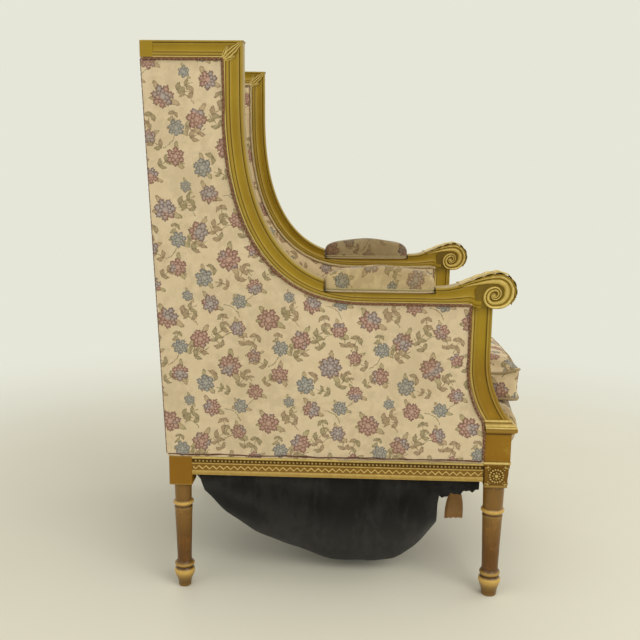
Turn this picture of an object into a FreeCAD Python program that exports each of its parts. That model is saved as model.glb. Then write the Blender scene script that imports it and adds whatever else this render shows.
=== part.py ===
import FreeCAD, Part
import math
import os

from FreeCAD import Vector

os.makedirs("parts", exist_ok=True)

# Whole chair. It faces -Y, +Z is up, and its right side (as one sits) is on -X.
overall_height = 1080.0
overall_depth = 756.0
rear_half_width = 289.0
splay_angle = 2.07
back_rake = 2.42
fit_clearance = 0.3

# Side frame, seen from the side: back is measured forward from the rear top edge
stile_back = 154.0
stile_width = 34.0
arm_underside = 603.0
arm_thickness = 29.0
sweep_centre_back = 430.0
sweep_centre_drop = 90.0
sweep_power = 2.5
elbow_joint_back = 334.0
wing_rail_height = 30.0
wing_front_corner = 190.0
side_member_thickness = 40.0
hollow_depth = 2.5
hollow_start = 0.33
hollow_end = 0.80
front_bead_start = 0.90
front_bead_step = 3.0

# Scroll at the front of each arm, drawn with half circles
scroll_top = 661.0
scroll_bottom = 594.0
scroll_front = 704.0
scroll_inner_back = 642.0
scroll_inner_top = 637.6
scroll_eye_radius = 6.5
scroll_band_outer_width = 11.5
scroll_band_inner_width = 8.0
scroll_band_height = 4.0

# Arm pad and its seat in the arm
pad_rear = 341.0
pad_front = 553.0
pad_seat_depth = 10.0
pad_thickness = 51.0
pad_overhang = 3.0

# Arm support, a curved post that stands on the front block
support_back = 623.0
support_front = 662.0
support_foot_rear = 655.0
support_foot_front = 703.0
support_rear_radius = 185.0
support_front_radius = 220.0
support_inset = 3.0
support_thickness = 42.0

# Cap moulding and front block
cap_lip = 11.0
cap_side_lip = 4.0
cap_lip_height = 8.0
front_block_back = 659.0
front_block_size = 51.0
front_block_top = 347.0
cap_height = 29.0
die_top = 286.0
die_bottom = 236.0
die_taper = 3.0
front_block_inset = 0.5
rosette_radius = 16.0
rosette_relief = 2.5
rosette_petals = 10
rosette_notch = 3.0
button_radius = 5.0
button_rise = 0.8

# Rear block and post
rear_block_back = 36.0
rear_block_size = 46.0
rear_block_inset = 3.0
rear_block_bottom = 226.0
rear_shoulder_top = 340.0
upright_width = 34.0
upright_inset = 6.5

# Turned legs, heights shared by all four
neck_bottom = 190.0
ring_height = 183.0
shaft_top = 170.0
shaft_bottom = 56.0
collar_height = 48.5
bulb_height = 33.0

# Seat rails
rail_bottom = 248.0
rail_show_top = 287.0
rail_top = 330.0
rail_inset = 3.0
rail_thickness = 27.0
rail_rebate = 6.0
front_rail_bow = 14.0

# Spring seat
webbing_width = 50.0
webbing_thickness = 1.5
spring_wire_radius = 2.0
spring_foot_radius = 30.0
spring_pitch = 30.0
spring_turns = 4
spring_cone_angle = 6.0
burlap_thickness = 1.5
deck_top = 394.0
roll_reach = 23.0

# Loose seat cushion
cushion_side_gap = 8.0
cushion_boxing = 62.0
cushion_crown = 44.0
cushion_front_corner = 742.0
cushion_nose = 9.0

# Upholstered faces
panel_thickness = 5.0
side_pad_inner_face = 50.0
back_pad_thickness = 68.0
stay_rail_height = 32.0
stay_rail_thickness = 22.0
gimp_width = 9.0
gimp_thickness = 1.5

# Dowels and screws
dowel_radius = 4.75
dowel_length = 44.0
elbow_pin_radius = 3.2
bore_clearance = 0.1
screw_radius = 2.2
screw_shank = 34.0
screw_head_radius = 4.2
screw_rise = 8.0

pad_seat_height = arm_underside + arm_thickness - pad_seat_depth
pad_top_height = pad_seat_height + pad_thickness
support_foot = front_block_top + cap_height
sweep_centre_height = overall_height - sweep_centre_drop
half_depth = overall_depth / 2
splay = math.radians(splay_angle)
rake = math.tan(math.radians(back_rake))


# Frames and helpers

def half_width(back):
    """Half the outer width of the chair at a distance forward of the rear top edge."""
    return rear_half_width + back * math.tan(splay)


def rear_line(height):
    """Where the raked rear face stands at a height, forward of the rear top edge."""
    return (overall_height - height) * rake


def on_side(shape, hand):
    """Carry a shape from side coordinates (forward, inward, up) to the left or the right side."""
    s = math.sin(splay)
    c = math.cos(splay)
    move = FreeCAD.Matrix(-s, c, 0, -rear_half_width, -c, -s, 0, half_depth, 0, 0, 1, 0, 0, 0, 0, 1)
    placed = shape.copy()
    placed.Placement = FreeCAD.Placement(move)
    if hand == "left":
        return placed.mirror(Vector(0, 0, 0), Vector(1, 0, 0))
    return placed


def save(name, shape):
    """Write one named piece."""
    shape.exportStep("parts/" + name + ".step")
    print(name, len(shape.Solids), round(shape.Volume / 1000, 1), shape.isValid())


def save_pair(name, shape):
    """Write a piece of the side frame for each side of the chair."""
    for hand in ("left", "right"):
        save(name + "_" + hand, on_side(shape, hand))


def line(a, b):
    return Part.LineSegment(Vector(*a), Vector(*b)).toShape()


def arc(a, middle, b):
    return Part.Arc(Vector(*a), Vector(*middle), Vector(*b)).toShape()


def polygon(points):
    """A face through a closed ring of points."""
    ring = [Vector(*p) for p in points]
    return Part.Face(Part.makePolygon(ring + ring[:1]))


def side_plate(points, inner_from, inner_to):
    """A flat piece of the side frame: an outline in (forward, up), carried inward."""
    face = polygon([(b, inner_from, z) for b, z in points])
    return face.extrude(Vector(0, inner_to - inner_from, 0))


def block(back, inner, height, size_back, size_inner, size_height):
    return Part.makeBox(size_back, size_inner, size_height, Vector(back, inner, height))


def rod(radius, length, start, direction):
    """A slim round piece, or the bore for it, with twelve flats."""
    across = direction.cross(Vector(0.31, 0.87, 0.39))
    across.normalize()
    other = direction.cross(across)
    ring = []
    for step in range(12):
        angle = math.pi * step / 6
        ring.append(start + across * (radius * math.cos(angle)) + other * (radius * math.sin(angle)))
    return Part.Face(Part.makePolygon(ring + ring[:1])).extrude(direction * length)


def rectangle_loft(sections):
    """A moulded block from level rectangles: (height, back, back, inner, inner)."""
    rings = []
    for height, b0, b1, t0, t1 in sections:
        corners = [Vector(b0, t0, height), Vector(b1, t0, height), Vector(b1, t1, height), Vector(b0, t1, height)]
        rings.append(Part.makePolygon(corners + corners[:1]))
    return Part.makeLoft(rings, True, True)


def world(x, back, height):
    return Vector(x, half_depth - back, height)


def slab_between_sides(inner, back_from, back_to, bottom, top):
    """A slab across the chair whose ends meet the faces that lie a distance in from the side planes."""
    w0 = half_width(back_from) - inner / math.cos(splay)
    w1 = half_width(back_to) - inner / math.cos(splay)
    ring = [world(-w0, back_from, bottom), world(w0, back_from, bottom)]
    ring += [world(w1, back_to, bottom), world(-w1, back_to, bottom)]
    return Part.Face(Part.makePolygon(ring + ring[:1])).extrude(Vector(0, 0, top - bottom))


# The swept member: wing stile, elbow and arm are bands between two nested superellipse quarters

def sweep_point(across, turn):
    """A point of the swept member: across runs 0 at its rear to 1 at its front, turn 0 at the wing to 1 at the arm."""
    reach_back = sweep_centre_back - stile_back - across * stile_width
    reach_down = sweep_centre_height - arm_underside - across * arm_thickness
    angle = turn * math.pi / 2
    back = sweep_centre_back - reach_back * math.cos(angle) ** (2 / sweep_power)
    height = sweep_centre_height - reach_down * math.sin(angle) ** (2 / sweep_power)
    return back, height


def sweep_curve(across, inner):
    """The quarter as one smooth curve, upright at the wing and level at the arm."""
    turns = [0, 0.12, 0.24, 0.36, 0.5, 0.64, 0.76, 0.88, 1]
    points = [Vector(b, inner, z) for b, z in (sweep_point(across, turn) for turn in turns)]
    curve = Part.BSplineCurve()
    curve.interpolate(Points=points, InitialTangent=Vector(0, 0, -1), FinalTangent=Vector(1, 0, 0))
    return curve.toShape()


def swept_band(across_from, across_to, inner_from, inner_to, front_end=600.0, top=overall_height):
    """A band of the swept member between two of its nested curves, from the top of the wing to the arm's front."""
    b0, z0 = sweep_point(across_from, 0)
    b1, z1 = sweep_point(across_to, 0)
    c0, y0 = sweep_point(across_from, 1)
    c1, y1 = sweep_point(across_to, 1)
    t = inner_from
    edges = [
        line((b0, t, top), (b0, t, z0)),
        sweep_curve(across_from, t),
        line((c0, t, y0), (front_end, t, y0)),
        line((front_end, t, y0), (front_end, t, y1)),
        line((front_end, t, y1), (c1, t, y1)),
        sweep_curve(across_to, t),
        line((b1, t, z1), (b1, t, top)),
        line((b1, t, top), (b0, t, top)),
    ]
    face = Part.Face(Part.Wire(Part.__sortEdges__(edges)))
    return face.extrude(Vector(0, inner_to - inner_from, 0))


def swept_member():
    """The moulded member: a broad hollow runs along both faces, and the front bead is stepped back."""
    body = swept_band(0, 1, 0, side_member_thickness)
    reach = side_member_thickness + 1
    for start, end, depth in ((hollow_start, hollow_end, hollow_depth), (front_bead_start, 1.1, front_bead_step)):
        body = body.cut(swept_band(start, end, -1, depth))
        body = body.cut(swept_band(start, end, side_member_thickness - depth, reach))
    return body


def mitre_cutter():
    """Everything above the mitre between the wing's stile and its top rail."""
    corner = (wing_front_corner, overall_height)
    heel = (stile_back, overall_height - wing_rail_height)
    points = [heel, corner, (corner[0], corner[1] + 20), (heel[0] - 60, corner[1] + 20), (heel[0] - 60, heel[1])]
    return side_plate(points, -5, side_member_thickness + 5)


def wing_stile(member):
    piece = member.common(block(0, -5, arm_underside - 20, elbow_joint_back, 60, overall_height))
    return piece.cut(mitre_cutter())


def wing_top_rail():
    """Top rail of the wing: a plain block at the rear, a sunk panel, and a mitre at the front."""
    bottom = overall_height - wing_rail_height
    outline = [(0, bottom), (stile_back, bottom), (wing_front_corner, overall_height), (0, overall_height)]
    rail = side_plate(outline, 0, side_member_thickness)
    rear_block = 23.0
    border = 4.0
    sunk = [(rear_block, bottom + border), (stile_back + border, bottom + border)]
    sunk += [(wing_front_corner - 9, overall_height - border), (rear_block, overall_height - border)]
    rail = rail.cut(side_plate(sunk, -1, hollow_depth))
    return rail.cut(side_plate(sunk, side_member_thickness - hollow_depth, side_member_thickness + 1))


# Arm rail and scroll

scroll_radius = (scroll_top - scroll_bottom) / 2
scroll_centre = scroll_front - scroll_radius
inner_radius = (scroll_inner_top - scroll_bottom) / 2
inner_centre = scroll_inner_back + inner_radius
last_radius = 13.0


def half_turn(centre, bottom, top, side, inner):
    """A half circle between two heights that bulges to the front (side 1) or to the rear (side -1)."""
    radius = (top - bottom) / 2
    middle = (centre + side * radius, inner, (top + bottom) / 2)
    return arc((centre, inner, top), middle, (centre, inner, bottom))


def scroll_band(inner_from, inner_to):
    """The raised spiral band: outer half circles, and inner ones that come back to the start."""
    t = inner_from
    last_bottom = scroll_inner_top - 2 * last_radius
    w0 = scroll_band_outer_width
    w1 = scroll_band_inner_width
    edges = [
        half_turn(scroll_centre, scroll_bottom, scroll_top, 1, t),
        line((scroll_centre, t, scroll_bottom), (inner_centre, t, scroll_bottom)),
        half_turn(inner_centre, scroll_bottom, scroll_inner_top, -1, t),
        half_turn(inner_centre, last_bottom, scroll_inner_top, 1, t),
        line((inner_centre, t, last_bottom), (inner_centre, t, last_bottom + w1 - 1.5)),
        half_turn(inner_centre, last_bottom + w1 - 1.5, scroll_inner_top - w1 + 1.5, 1, t),
        half_turn(inner_centre, scroll_bottom + w1 + 1.5, scroll_inner_top - w1 + 1.5, -1, t),
        line((inner_centre, t, scroll_bottom + w1 + 1.5), (scroll_centre, t, scroll_bottom + w1 + 1.5)),
        half_turn(scroll_centre, scroll_bottom + w1 + 1.5, scroll_top - w0, 1, t),
        line((scroll_centre, t, scroll_top - w0), (scroll_centre, t, scroll_top)),
    ]
    face = Part.Face(Part.Wire(Part.__sortEdges__(edges)))
    return face.extrude(Vector(0, inner_to - inner_from, 0))


def arm_front(inner_from, inner_to):
    """The front of the arm: it rises in a hollow sweep and rolls over into the scroll."""
    t = inner_from
    arm_top = arm_underside + arm_thickness
    start = elbow_joint_back + 226
    edges = [
        line((start, t, arm_underside), (618, t, arm_underside)),
        arc((618, t, arm_underside), (627, t, arm_underside - 2.5), (633, t, scroll_bottom)),
        line((633, t, scroll_bottom), (scroll_centre, t, scroll_bottom)),
        half_turn(scroll_centre, scroll_bottom, scroll_top, 1, t),
        arc((scroll_centre, t, scroll_top), (645, t, scroll_top - 6), (622, t, scroll_top - 16)),
        arc((622, t, scroll_top - 16), (597, t, arm_top + 4), (start, t, arm_top)),
        line((start, t, arm_top), (start, t, arm_underside)),
    ]
    face = Part.Face(Part.Wire(Part.__sortEdges__(edges)))
    return face.extrude(Vector(0, inner_to - inner_from, 0))


def arm_rail(member):
    """Arm rail from the elbow to the scroll, with the seat for its pad and a raised spiral on both faces."""
    elbow = member.common(block(elbow_joint_back, -5, arm_underside - 20, 226, 60, 100))
    front = arm_front(0, side_member_thickness)
    rail = elbow.fuse(front)
    sunk = arm_front(0, scroll_band_height).cut(scroll_band(-1, scroll_band_height + 1))
    rim = block(0, -1, 0, 627, 60, overall_height)
    sunk = sunk.cut(rim)
    rail = rail.cut(sunk)
    rail = rail.cut(sunk.mirror(Vector(0, side_member_thickness / 2, 0), Vector(0, 1, 0)))
    eye = rod(scroll_eye_radius, side_member_thickness, Vector(scroll_inner_back + 19, 0, 619), Vector(0, 1, 0))
    rail = rail.fuse(eye)
    seat = block(pad_rear, -5, pad_seat_height, pad_front - pad_rear, 60, overall_height - pad_seat_height)
    return rail.cut(seat).removeSplitter()


def arm_support():
    """Curved post: upright under the arm, then sweeping forward in two arcs to its foot."""
    top = scroll_bottom
    t = support_inset

    def arc_start(upright, foot, radius):
        return support_foot + math.sqrt(radius ** 2 - (radius - foot + upright) ** 2)

    rear_start = arc_start(support_back, support_foot_rear, support_rear_radius)
    front_start = arc_start(support_front, support_foot_front, support_front_radius)

    def on_arc(upright, radius, start, height):
        return upright + radius - math.sqrt(radius ** 2 - (start - height) ** 2)

    def outline(rear_shift, front_shift, inner, depth, low, high):
        rear_mid = (rear_start + low) / 2
        front_mid = (front_start + low) / 2
        r0 = on_arc(support_back, support_rear_radius, rear_start, low) + rear_shift
        r1 = on_arc(support_back, support_rear_radius, rear_start, rear_mid) + rear_shift
        f0 = on_arc(support_front, support_front_radius, front_start, low) - front_shift
        f1 = on_arc(support_front, support_front_radius, front_start, front_mid) - front_shift
        rear = support_back + rear_shift
        front = support_front - front_shift
        edges = [
            line((rear, inner, high), (rear, inner, rear_start)),
            arc((rear, inner, rear_start), (r1, inner, rear_mid), (r0, inner, low)),
            line((r0, inner, low), (f0, inner, low)),
            arc((f0, inner, low), (f1, inner, front_mid), (front, inner, front_start)),
            line((front, inner, front_start), (front, inner, high)),
            line((front, inner, high), (rear, inner, high)),
        ]
        return Part.Face(Part.Wire(Part.__sortEdges__(edges))).extrude(Vector(0, depth, 0))

    post = outline(0, 0, t, support_thickness, support_foot, top)
    for inner in (t - 1, t + support_thickness - hollow_depth):
        post = post.cut(outline(6, 9, inner, hollow_depth + 1, support_foot + 6, top - 7))
    b0 = front_block_back
    b1 = front_block_back + front_block_size
    t0 = front_block_inset
    t1 = front_block_inset + front_block_size
    lip = cap_lip
    side = cap_side_lip
    low = front_block_top
    cap = rectangle_loft([
        (low, b0, b1, t0, t1),
        (low + 3, b0, b1 + lip, t0 - side, t1 + side),
        (low + 3 + cap_lip_height, b0, b1 + lip, t0 - side, t1 + side),
        (low + 17, b0 - 1, b1 + lip - 4, t0 - side / 2, t1 + side / 2),
        (low + 25, b0 - 3, b1 - 3, t0 + 1, t1 - 1),
        (support_foot, b0 - 4, b1 - 4, t0 + 2, t1 - 2),
    ])
    return post.fuse(cap).removeSplitter()


# Legs and posts

def turned_leg(axis_back, axis_inner, top, radii):
    """A turned leg: neck, gilt ring, tapering shaft, collar, bulb and foot, as one turned profile."""
    neck, ring, upper, lower, collar, bulb, foot = radii
    profile = [
        (0, 0),
        (foot, 0),
        (bulb - 1.8, bulb_height / 2),
        (bulb, bulb_height),
        (bulb - 2.5, bulb_height + 6),
        (lower + 2, collar_height - 5.5),
        (collar, collar_height - 2),
        (collar, collar_height + 2),
        (lower, shaft_bottom),
        (upper, shaft_top),
        (neck - 3, ring_height - 5.5),
        (ring, ring_height - 2),
        (ring, ring_height + 2),
        (neck, neck_bottom),
        (neck, top),
        (0, top),
    ]
    face = polygon([(axis_back + radius, axis_inner, height) for radius, height in profile])
    return face.revolve(Vector(axis_back, axis_inner, 0), Vector(0, 0, 1), 360)


def rosette(centre_back, centre_inner, height, outward):
    """A low petalled boss with a button, standing on a face of the front block."""
    centre = Vector(centre_back, centre_inner, height)
    across = Vector(0, 0, 1).cross(outward)
    ring = []
    for step in range(2 * rosette_petals):
        radius = rosette_radius if step % 2 == 0 else rosette_radius - rosette_notch
        angle = math.pi * step / rosette_petals
        ring.append(centre + across * (radius * math.cos(angle)) + Vector(0, 0, radius * math.sin(angle)))
    petals = Part.Face(Part.makePolygon(ring + ring[:1])).extrude(outward * rosette_relief)
    return petals.fuse(rod(button_radius, rosette_relief + button_rise, centre, outward))


def front_leg():
    b0 = front_block_back
    b1 = b0 + front_block_size
    t0 = front_block_inset
    t1 = t0 + front_block_size
    middle = (b0 + b1) / 2
    inner = (t0 + t1) / 2
    d = die_taper
    rim = 1.5
    stack = rectangle_loft([(die_bottom, b0 + d, b1 - d, t0 + d, t1 - d), (die_top, b0, b1, t0, t1)])
    bead = rectangle_loft([(die_top, b0, b1 + rim, t0 - rim, t1), (die_top + 4.5, b0, b1 + rim, t0 - rim, t1)])
    upper = block(b0, t0, die_top + 4.5, front_block_size, front_block_size, front_block_top - die_top - 4.5)
    leg = turned_leg(middle, inner, die_bottom, (21.0, 23.5, 20.0, 16.5, 21.0, 22.5, 15.0))
    whole = leg.fuse([stack, bead, upper])
    centre = (die_top + die_bottom) / 2
    lean = d / 2
    side_face = rosette(middle, t0 + lean + 1, centre, Vector(0, -1, 0))
    front_face = rosette(b1 - lean - 1, inner, centre, Vector(1, 0, 0))
    return whole.fuse([side_face, front_face]).removeSplitter()


def back_post():
    """Turned rear leg, square block, hidden shoulder and the raked upright that carries the crest."""
    b0 = rear_block_back
    size = rear_block_size
    t0 = rear_block_inset
    middle = b0 + size / 2
    inner = t0 + size / 2
    leg = turned_leg(middle, inner, rear_block_bottom, (17.5, 21.0, 18.0, 14.5, 23.5, 21.5, 12.5))
    square = block(b0, t0, rear_block_bottom, size, size, rail_show_top - rear_block_bottom)
    step = panel_thickness + 2
    shoulder_height = rear_shoulder_top - rail_show_top
    shoulder = block(b0 + step, t0 + step, rail_show_top, size - step, size - step, shoulder_height)
    top = overall_height - wing_rail_height
    low = rear_shoulder_top - 20
    behind = panel_thickness + 2 * fit_clearance
    outline = [(rear_line(low) + behind, low), (rear_line(top) + behind, top)]
    outline += [(rear_line(top) + behind + upright_width, top), (rear_line(low) + behind + upright_width, low)]
    upright = side_plate(outline, upright_inset, side_member_thickness - 1)
    return leg.fuse([square, shoulder, upright]).removeSplitter()


# Seat rails. One profile serves all four: (inward from the show face, height)

rail_profile = [
    (rail_thickness, rail_bottom),
    (rail_thickness, rail_top),
    (rail_rebate, rail_top),
    (rail_rebate, rail_show_top + 1.0),
    (1.5, rail_show_top),
    (0.0, rail_show_top),
    (0.0, rail_show_top - 5.5),
    (3.0, rail_show_top - 6.5),
    (3.0, rail_show_top - 13.5),
    (1.0, rail_show_top - 14.5),
    (1.0, rail_bottom + 9.0),
    (0.0, rail_bottom + 8.0),
    (0.0, rail_bottom),
]


def side_seat_rail():
    start = rear_block_back + rear_block_size
    face = polygon([(start, rail_inset + t, z) for t, z in rail_profile])
    return face.extrude(Vector(front_block_back - start, 0, 0))


front_rail_face = front_block_back + front_block_size - rail_inset
rear_rail_face = rear_block_back + rail_inset


def bowed(section, extra_bow=0.0):
    """Turn a section of (forward, up) points about a far upright axis, so that it bows forward across the seat."""
    span = half_width(front_rail_face) - front_block_size
    radius = (span ** 2 + front_rail_bow ** 2) / (2 * front_rail_bow)
    axis = world(0, front_rail_face + front_rail_bow - radius, 0)
    swing = math.degrees(math.asin((span + 8) / radius))
    ring = [world(0, b + front_rail_bow, z) for b, z in section]
    face = Part.Face(Part.makePolygon(ring + ring[:1]))
    face.rotate(axis, Vector(0, 0, 1), -swing)
    return face.revolve(axis, Vector(0, 0, 1), 2 * swing)


def between(shape, inner):
    """Trim the ends of a cross piece to the faces that lie a distance in from both side planes."""
    for hand in ("left", "right"):
        outside = block(-300, -200, -50, 1500, 200 + inner, 1300)
        shape = shape.cut(on_side(outside, hand))
    return shape


def front_seat_rail():
    rail = bowed([(front_rail_face - t, z) for t, z in rail_profile])
    return between(rail, front_block_inset + front_block_size)


def rear_seat_rail():
    width = rear_half_width
    face = Part.Face(Part.makePolygon([world(-width, rear_rail_face + t, z) for t, z in rail_profile + rail_profile[:1]]))
    return between(face.extrude(Vector(2 * width, 0, 0)), rear_block_inset + rear_block_size)


def crest_rail():
    """Straight crest between the wings, with a sunk panel on its rear face."""
    depth = rear_line(overall_height - 40.0) + panel_thickness + upright_width + 1.5
    low = overall_height - 40.0
    behind = panel_thickness + 2 * fit_clearance
    top_low = overall_height - wing_rail_height
    crest = slab_between_sides(side_member_thickness, 0, depth, top_low, overall_height)
    crest = crest.fuse(slab_between_sides(side_member_thickness, behind + 2, depth, low, top_low))
    sunk = slab_between_sides(side_member_thickness + 12, -1, hollow_depth, top_low + 4, overall_height - 4)
    return crest.cut(sunk).removeSplitter()


stay_height_over_deck = 14
stay_setback = 4
stay_inset = panel_thickness + 5


def stay_rails():
    """Hidden rails that the inside covers are pulled down to: one across the back and one at each side."""
    low = deck_top + stay_height_over_deck
    post_front = rear_line(low) + panel_thickness + 2 * fit_clearance + upright_width
    behind = post_front - stay_rail_thickness - stay_setback
    ahead = post_front - stay_setback
    across = slab_between_sides(side_member_thickness - 1, behind, ahead, low, low + stay_rail_height)
    high = low + stay_rail_height
    outline = [(post_front, low), (support_back, low), (support_back, high)]
    outline += [(rear_line(high) + post_front - rear_line(low), high)]
    side = side_plate(outline, stay_inset, stay_inset + stay_rail_thickness)
    return across, side


# Joints of the frame

dowel_levels = (rail_bottom + 14, rail_top - 20)
support_dowel_back = 641
support_foot_dowel_back = front_block_back + 24
elbow_dowel_length = 30
elbow_dowel_slope = -0.39
rear_post_dowel_back = 24
rear_post_dowel_length = 36.0
mitre_dowel_back = 172
mitre_dowel_length = 16.0


def dowel(centre, axis, extra=0.0, length=dowel_length):
    direction = Vector(*axis)
    direction.normalize()
    start = Vector(*centre) - direction * (length / 2)
    return rod(dowel_radius + extra, length, start, direction)


def side_dowels(extra=0.0):
    """Dowels of one side frame, in side coordinates."""
    rail_inner = rail_inset + rail_rebate + (rail_thickness - rail_rebate) / 2
    arm_middle = side_member_thickness / 2
    start = rear_block_back + rear_block_size
    pins = []
    for height in dowel_levels:
        pins.append(dowel((start, rail_inner, height), (1, 0, 0), extra))
        pins.append(dowel((front_block_back, rail_inner, height), (1, 0, 0), extra))
    pins.append(dowel((support_dowel_back, arm_middle + 4, scroll_bottom), (0, 0, 1), extra))
    pins.append(dowel((support_foot_dowel_back, arm_middle + 4, front_block_top), (0, 0, 1), extra))
    elbow_pin = (elbow_joint_back, arm_middle, upper_limit(elbow_joint_back) + 7.5)
    direction = Vector(1, 0, elbow_dowel_slope)
    direction.normalize()
    start = Vector(*elbow_pin) - direction * (elbow_dowel_length / 2)
    pins.append(rod(elbow_pin_radius + extra, elbow_dowel_length, start, direction))
    rear_post_pin = (rear_post_dowel_back, arm_middle + 2, overall_height - wing_rail_height)
    pins.append(dowel(rear_post_pin, (0, 0, 1), extra, rear_post_dowel_length))
    mitre_pin = (mitre_dowel_back, arm_middle, overall_height - wing_rail_height / 2)
    pins.append(dowel(mitre_pin, (1, 0, -1), extra, mitre_dowel_length))
    return pins


def cross_dowels(extra=0.0):
    """Dowels between the cross rails and the posts."""
    pins = []
    for height in dowel_levels:
        for sign in (-1, 1):
            back = front_rail_face - rail_thickness / 2 - 3
            x = half_width(back) - front_block_inset - front_block_size
            pins.append(dowel(world(sign * x, back + 2, height), (1, 0, 0), extra))
            back = rear_rail_face + rail_thickness / 2 + 3
            x = half_width(back) - rear_block_inset - rear_block_size
            pins.append(dowel(world(sign * x, back, height), (1, 0, 0), extra))
    return pins


def corner_blocks(front_rail):
    """Glued corner blocks, notched round the posts, and the screws that hold them to the side rails."""
    inner_face = rail_inset + rail_thickness
    low = rail_show_top + 3
    blocks = []
    screws = []
    front_inner = front_rail_face - rail_thickness - fit_clearance
    front_post_inner = front_block_inset + front_block_size
    rear_post_inner = rear_block_inset + rear_block_size
    rear_start = rear_block_back + rear_block_size
    rear_inner = rear_rail_face + rail_thickness
    reach = 52.0
    front = [(front_block_back - reach, inner_face), (front_block_back, inner_face)]
    front += [(front_block_back, front_post_inner), (front_inner, front_post_inner)]
    front += [(front_inner, front_post_inner + reach)]
    rear = [(rear_start + reach, inner_face), (rear_start, inner_face), (rear_start, rear_post_inner)]
    rear += [(rear_inner, rear_post_inner), (rear_inner, rear_post_inner + reach)]
    for outline, screw_back in ((front, front_block_back - 22), (rear, rear_start + 22)):
        body = polygon([(b, t, low) for b, t in outline]).extrude(Vector(0, 0, 30))
        shank_start = Vector(screw_back, inner_face - 16, low + screw_rise)
        inward = Vector(0, 1, 0)
        head_start = shank_start + inward * screw_shank
        shank = rod(screw_radius, screw_shank, shank_start, inward)
        head = rod(screw_head_radius, 3, head_start, inward)
        clear = rod(screw_head_radius + 0.5, 40, head_start, inward)
        hole = rod(screw_radius + bore_clearance, 80, shank_start, inward)
        blocks.append(body.cut(clear).cut(hole))
        screws.append(shank.fuse(head).removeSplitter())
    placed_blocks = [on_side(piece, hand).cut(front_rail) for piece in blocks for hand in ("left", "right")]
    placed_screws = [on_side(piece, hand) for piece in screws for hand in ("left", "right")]
    holes = []
    for back in (front_block_back - 22, rear_start + 22):
        start = Vector(back, inner_face - 16, low + screw_rise)
        holes.append(rod(screw_radius + bore_clearance, 40, start, Vector(0, 1, 0)))
    return placed_blocks, placed_screws, holes


# Spring seat

lanes_each_way = 6
first_long_lane = -200
long_lane_pitch = 70
first_cross_lane = 120
cross_lane_pitch = 95
lane_end_gap = 10
spring_column_pitch = 150
first_spring_row = 190
spring_row_pitch = 170
spring_gap = 0.2


def seat_webbing():
    """Jute webbing under the rails: one layer front to back and one layer across it."""
    strips = []
    top = rail_bottom
    long = front_rail_face - rear_rail_face - 2 * lane_end_gap
    for lane in range(lanes_each_way):
        x = first_long_lane + long_lane_pitch * lane
        corner = Vector(x, half_depth - front_rail_face + lane_end_gap, top - webbing_thickness)
        strips.append(Part.makeBox(webbing_width, long, webbing_thickness, corner))
    low = top - 2 * webbing_thickness
    for lane in range(lanes_each_way):
        back = first_cross_lane + cross_lane_pitch * lane
        width = half_width(back) - rail_inset - lane_end_gap
        corner = Vector(-width, half_depth - back - webbing_width, low)
        strips.append(Part.makeBox(2 * width, webbing_width, webbing_thickness, corner))
    return strips


def coil_spring(x, back, bottom):
    """One conical seat spring: a four-sided wire carried up a rising, widening helix."""
    steps_per_turn = 8
    sides = 4
    spread = math.tan(math.radians(spring_cone_angle))
    rings = []
    for step in range(steps_per_turn * spring_turns + 1):
        turn = 2 * math.pi * step / steps_per_turn
        rise = spring_pitch * step / steps_per_turn
        radius = spring_foot_radius + rise * spread
        corners = []
        for corner in range(sides):
            angle = 2 * math.pi * corner / sides
            r = radius + spring_wire_radius * math.cos(angle)
            z = rise + spring_wire_radius * math.sin(angle)
            corners.append(Vector(r * math.cos(turn), r * math.sin(turn), z))
        rings.append(Part.makePolygon(corners + corners[:1]))
    coil = Part.makeLoft(rings, True, True)
    coil.translate(world(x, back, bottom + spring_wire_radius + spring_gap))
    return coil


def seat_springs():
    """Nine springs in three columns and three rows."""
    columns = [spring_column_pitch * (column - 1) for column in range(3)]
    rows = [first_spring_row + spring_row_pitch * row for row in range(3)]
    return [coil_spring(x, back, rail_bottom) for x in columns for back in rows]


spring_top = rail_bottom + spring_pitch * spring_turns + 2 * spring_wire_radius + 2 * spring_gap
roll_rear = 640.0


def deck_layers():
    """Burlap over the springs and the stuffed deck on it, from the back posts to the front roll."""
    start = rear_line(spring_top) + upright_width + 10
    inset = side_member_thickness + 2
    burlap_top = spring_top + burlap_thickness
    burlap = slab_between_sides(inset, start, roll_rear - 2, spring_top, burlap_top)
    deck = slab_between_sides(inset, start, roll_rear - 2, burlap_top, deck_top)
    return burlap, deck


def front_roll():
    """The stuffed front edge: it rises from the rail's rebate and rolls forward over it."""
    face = front_rail_face
    low = rail_show_top + 2
    back_of_roll = roll_rear + fit_clearance
    p = [(face - rail_rebate + fit_clearance + 1, low), (face + roll_reach * 0.6, low + 22), (face + roll_reach, low + 50)]
    p += [(face + roll_reach * 0.8, low + 80), (face + 6, deck_top - 4), (face - 10, deck_top)]
    p += [(back_of_roll, deck_top), (back_of_roll, spring_top + 6), (face - rail_thickness, rail_top + 8)]
    p += [(face - rail_thickness, rail_top + fit_clearance), (face - rail_rebate + fit_clearance + 1, rail_top + fit_clearance)]
    return between(bowed(p), front_block_inset + front_block_size + cap_side_lip + 2 * fit_clearance)


# Soft pieces

def loft_rings(rings, ruled=True):
    return Part.makeLoft([Part.Wire(ring) for ring in rings], True, ruled)


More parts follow.
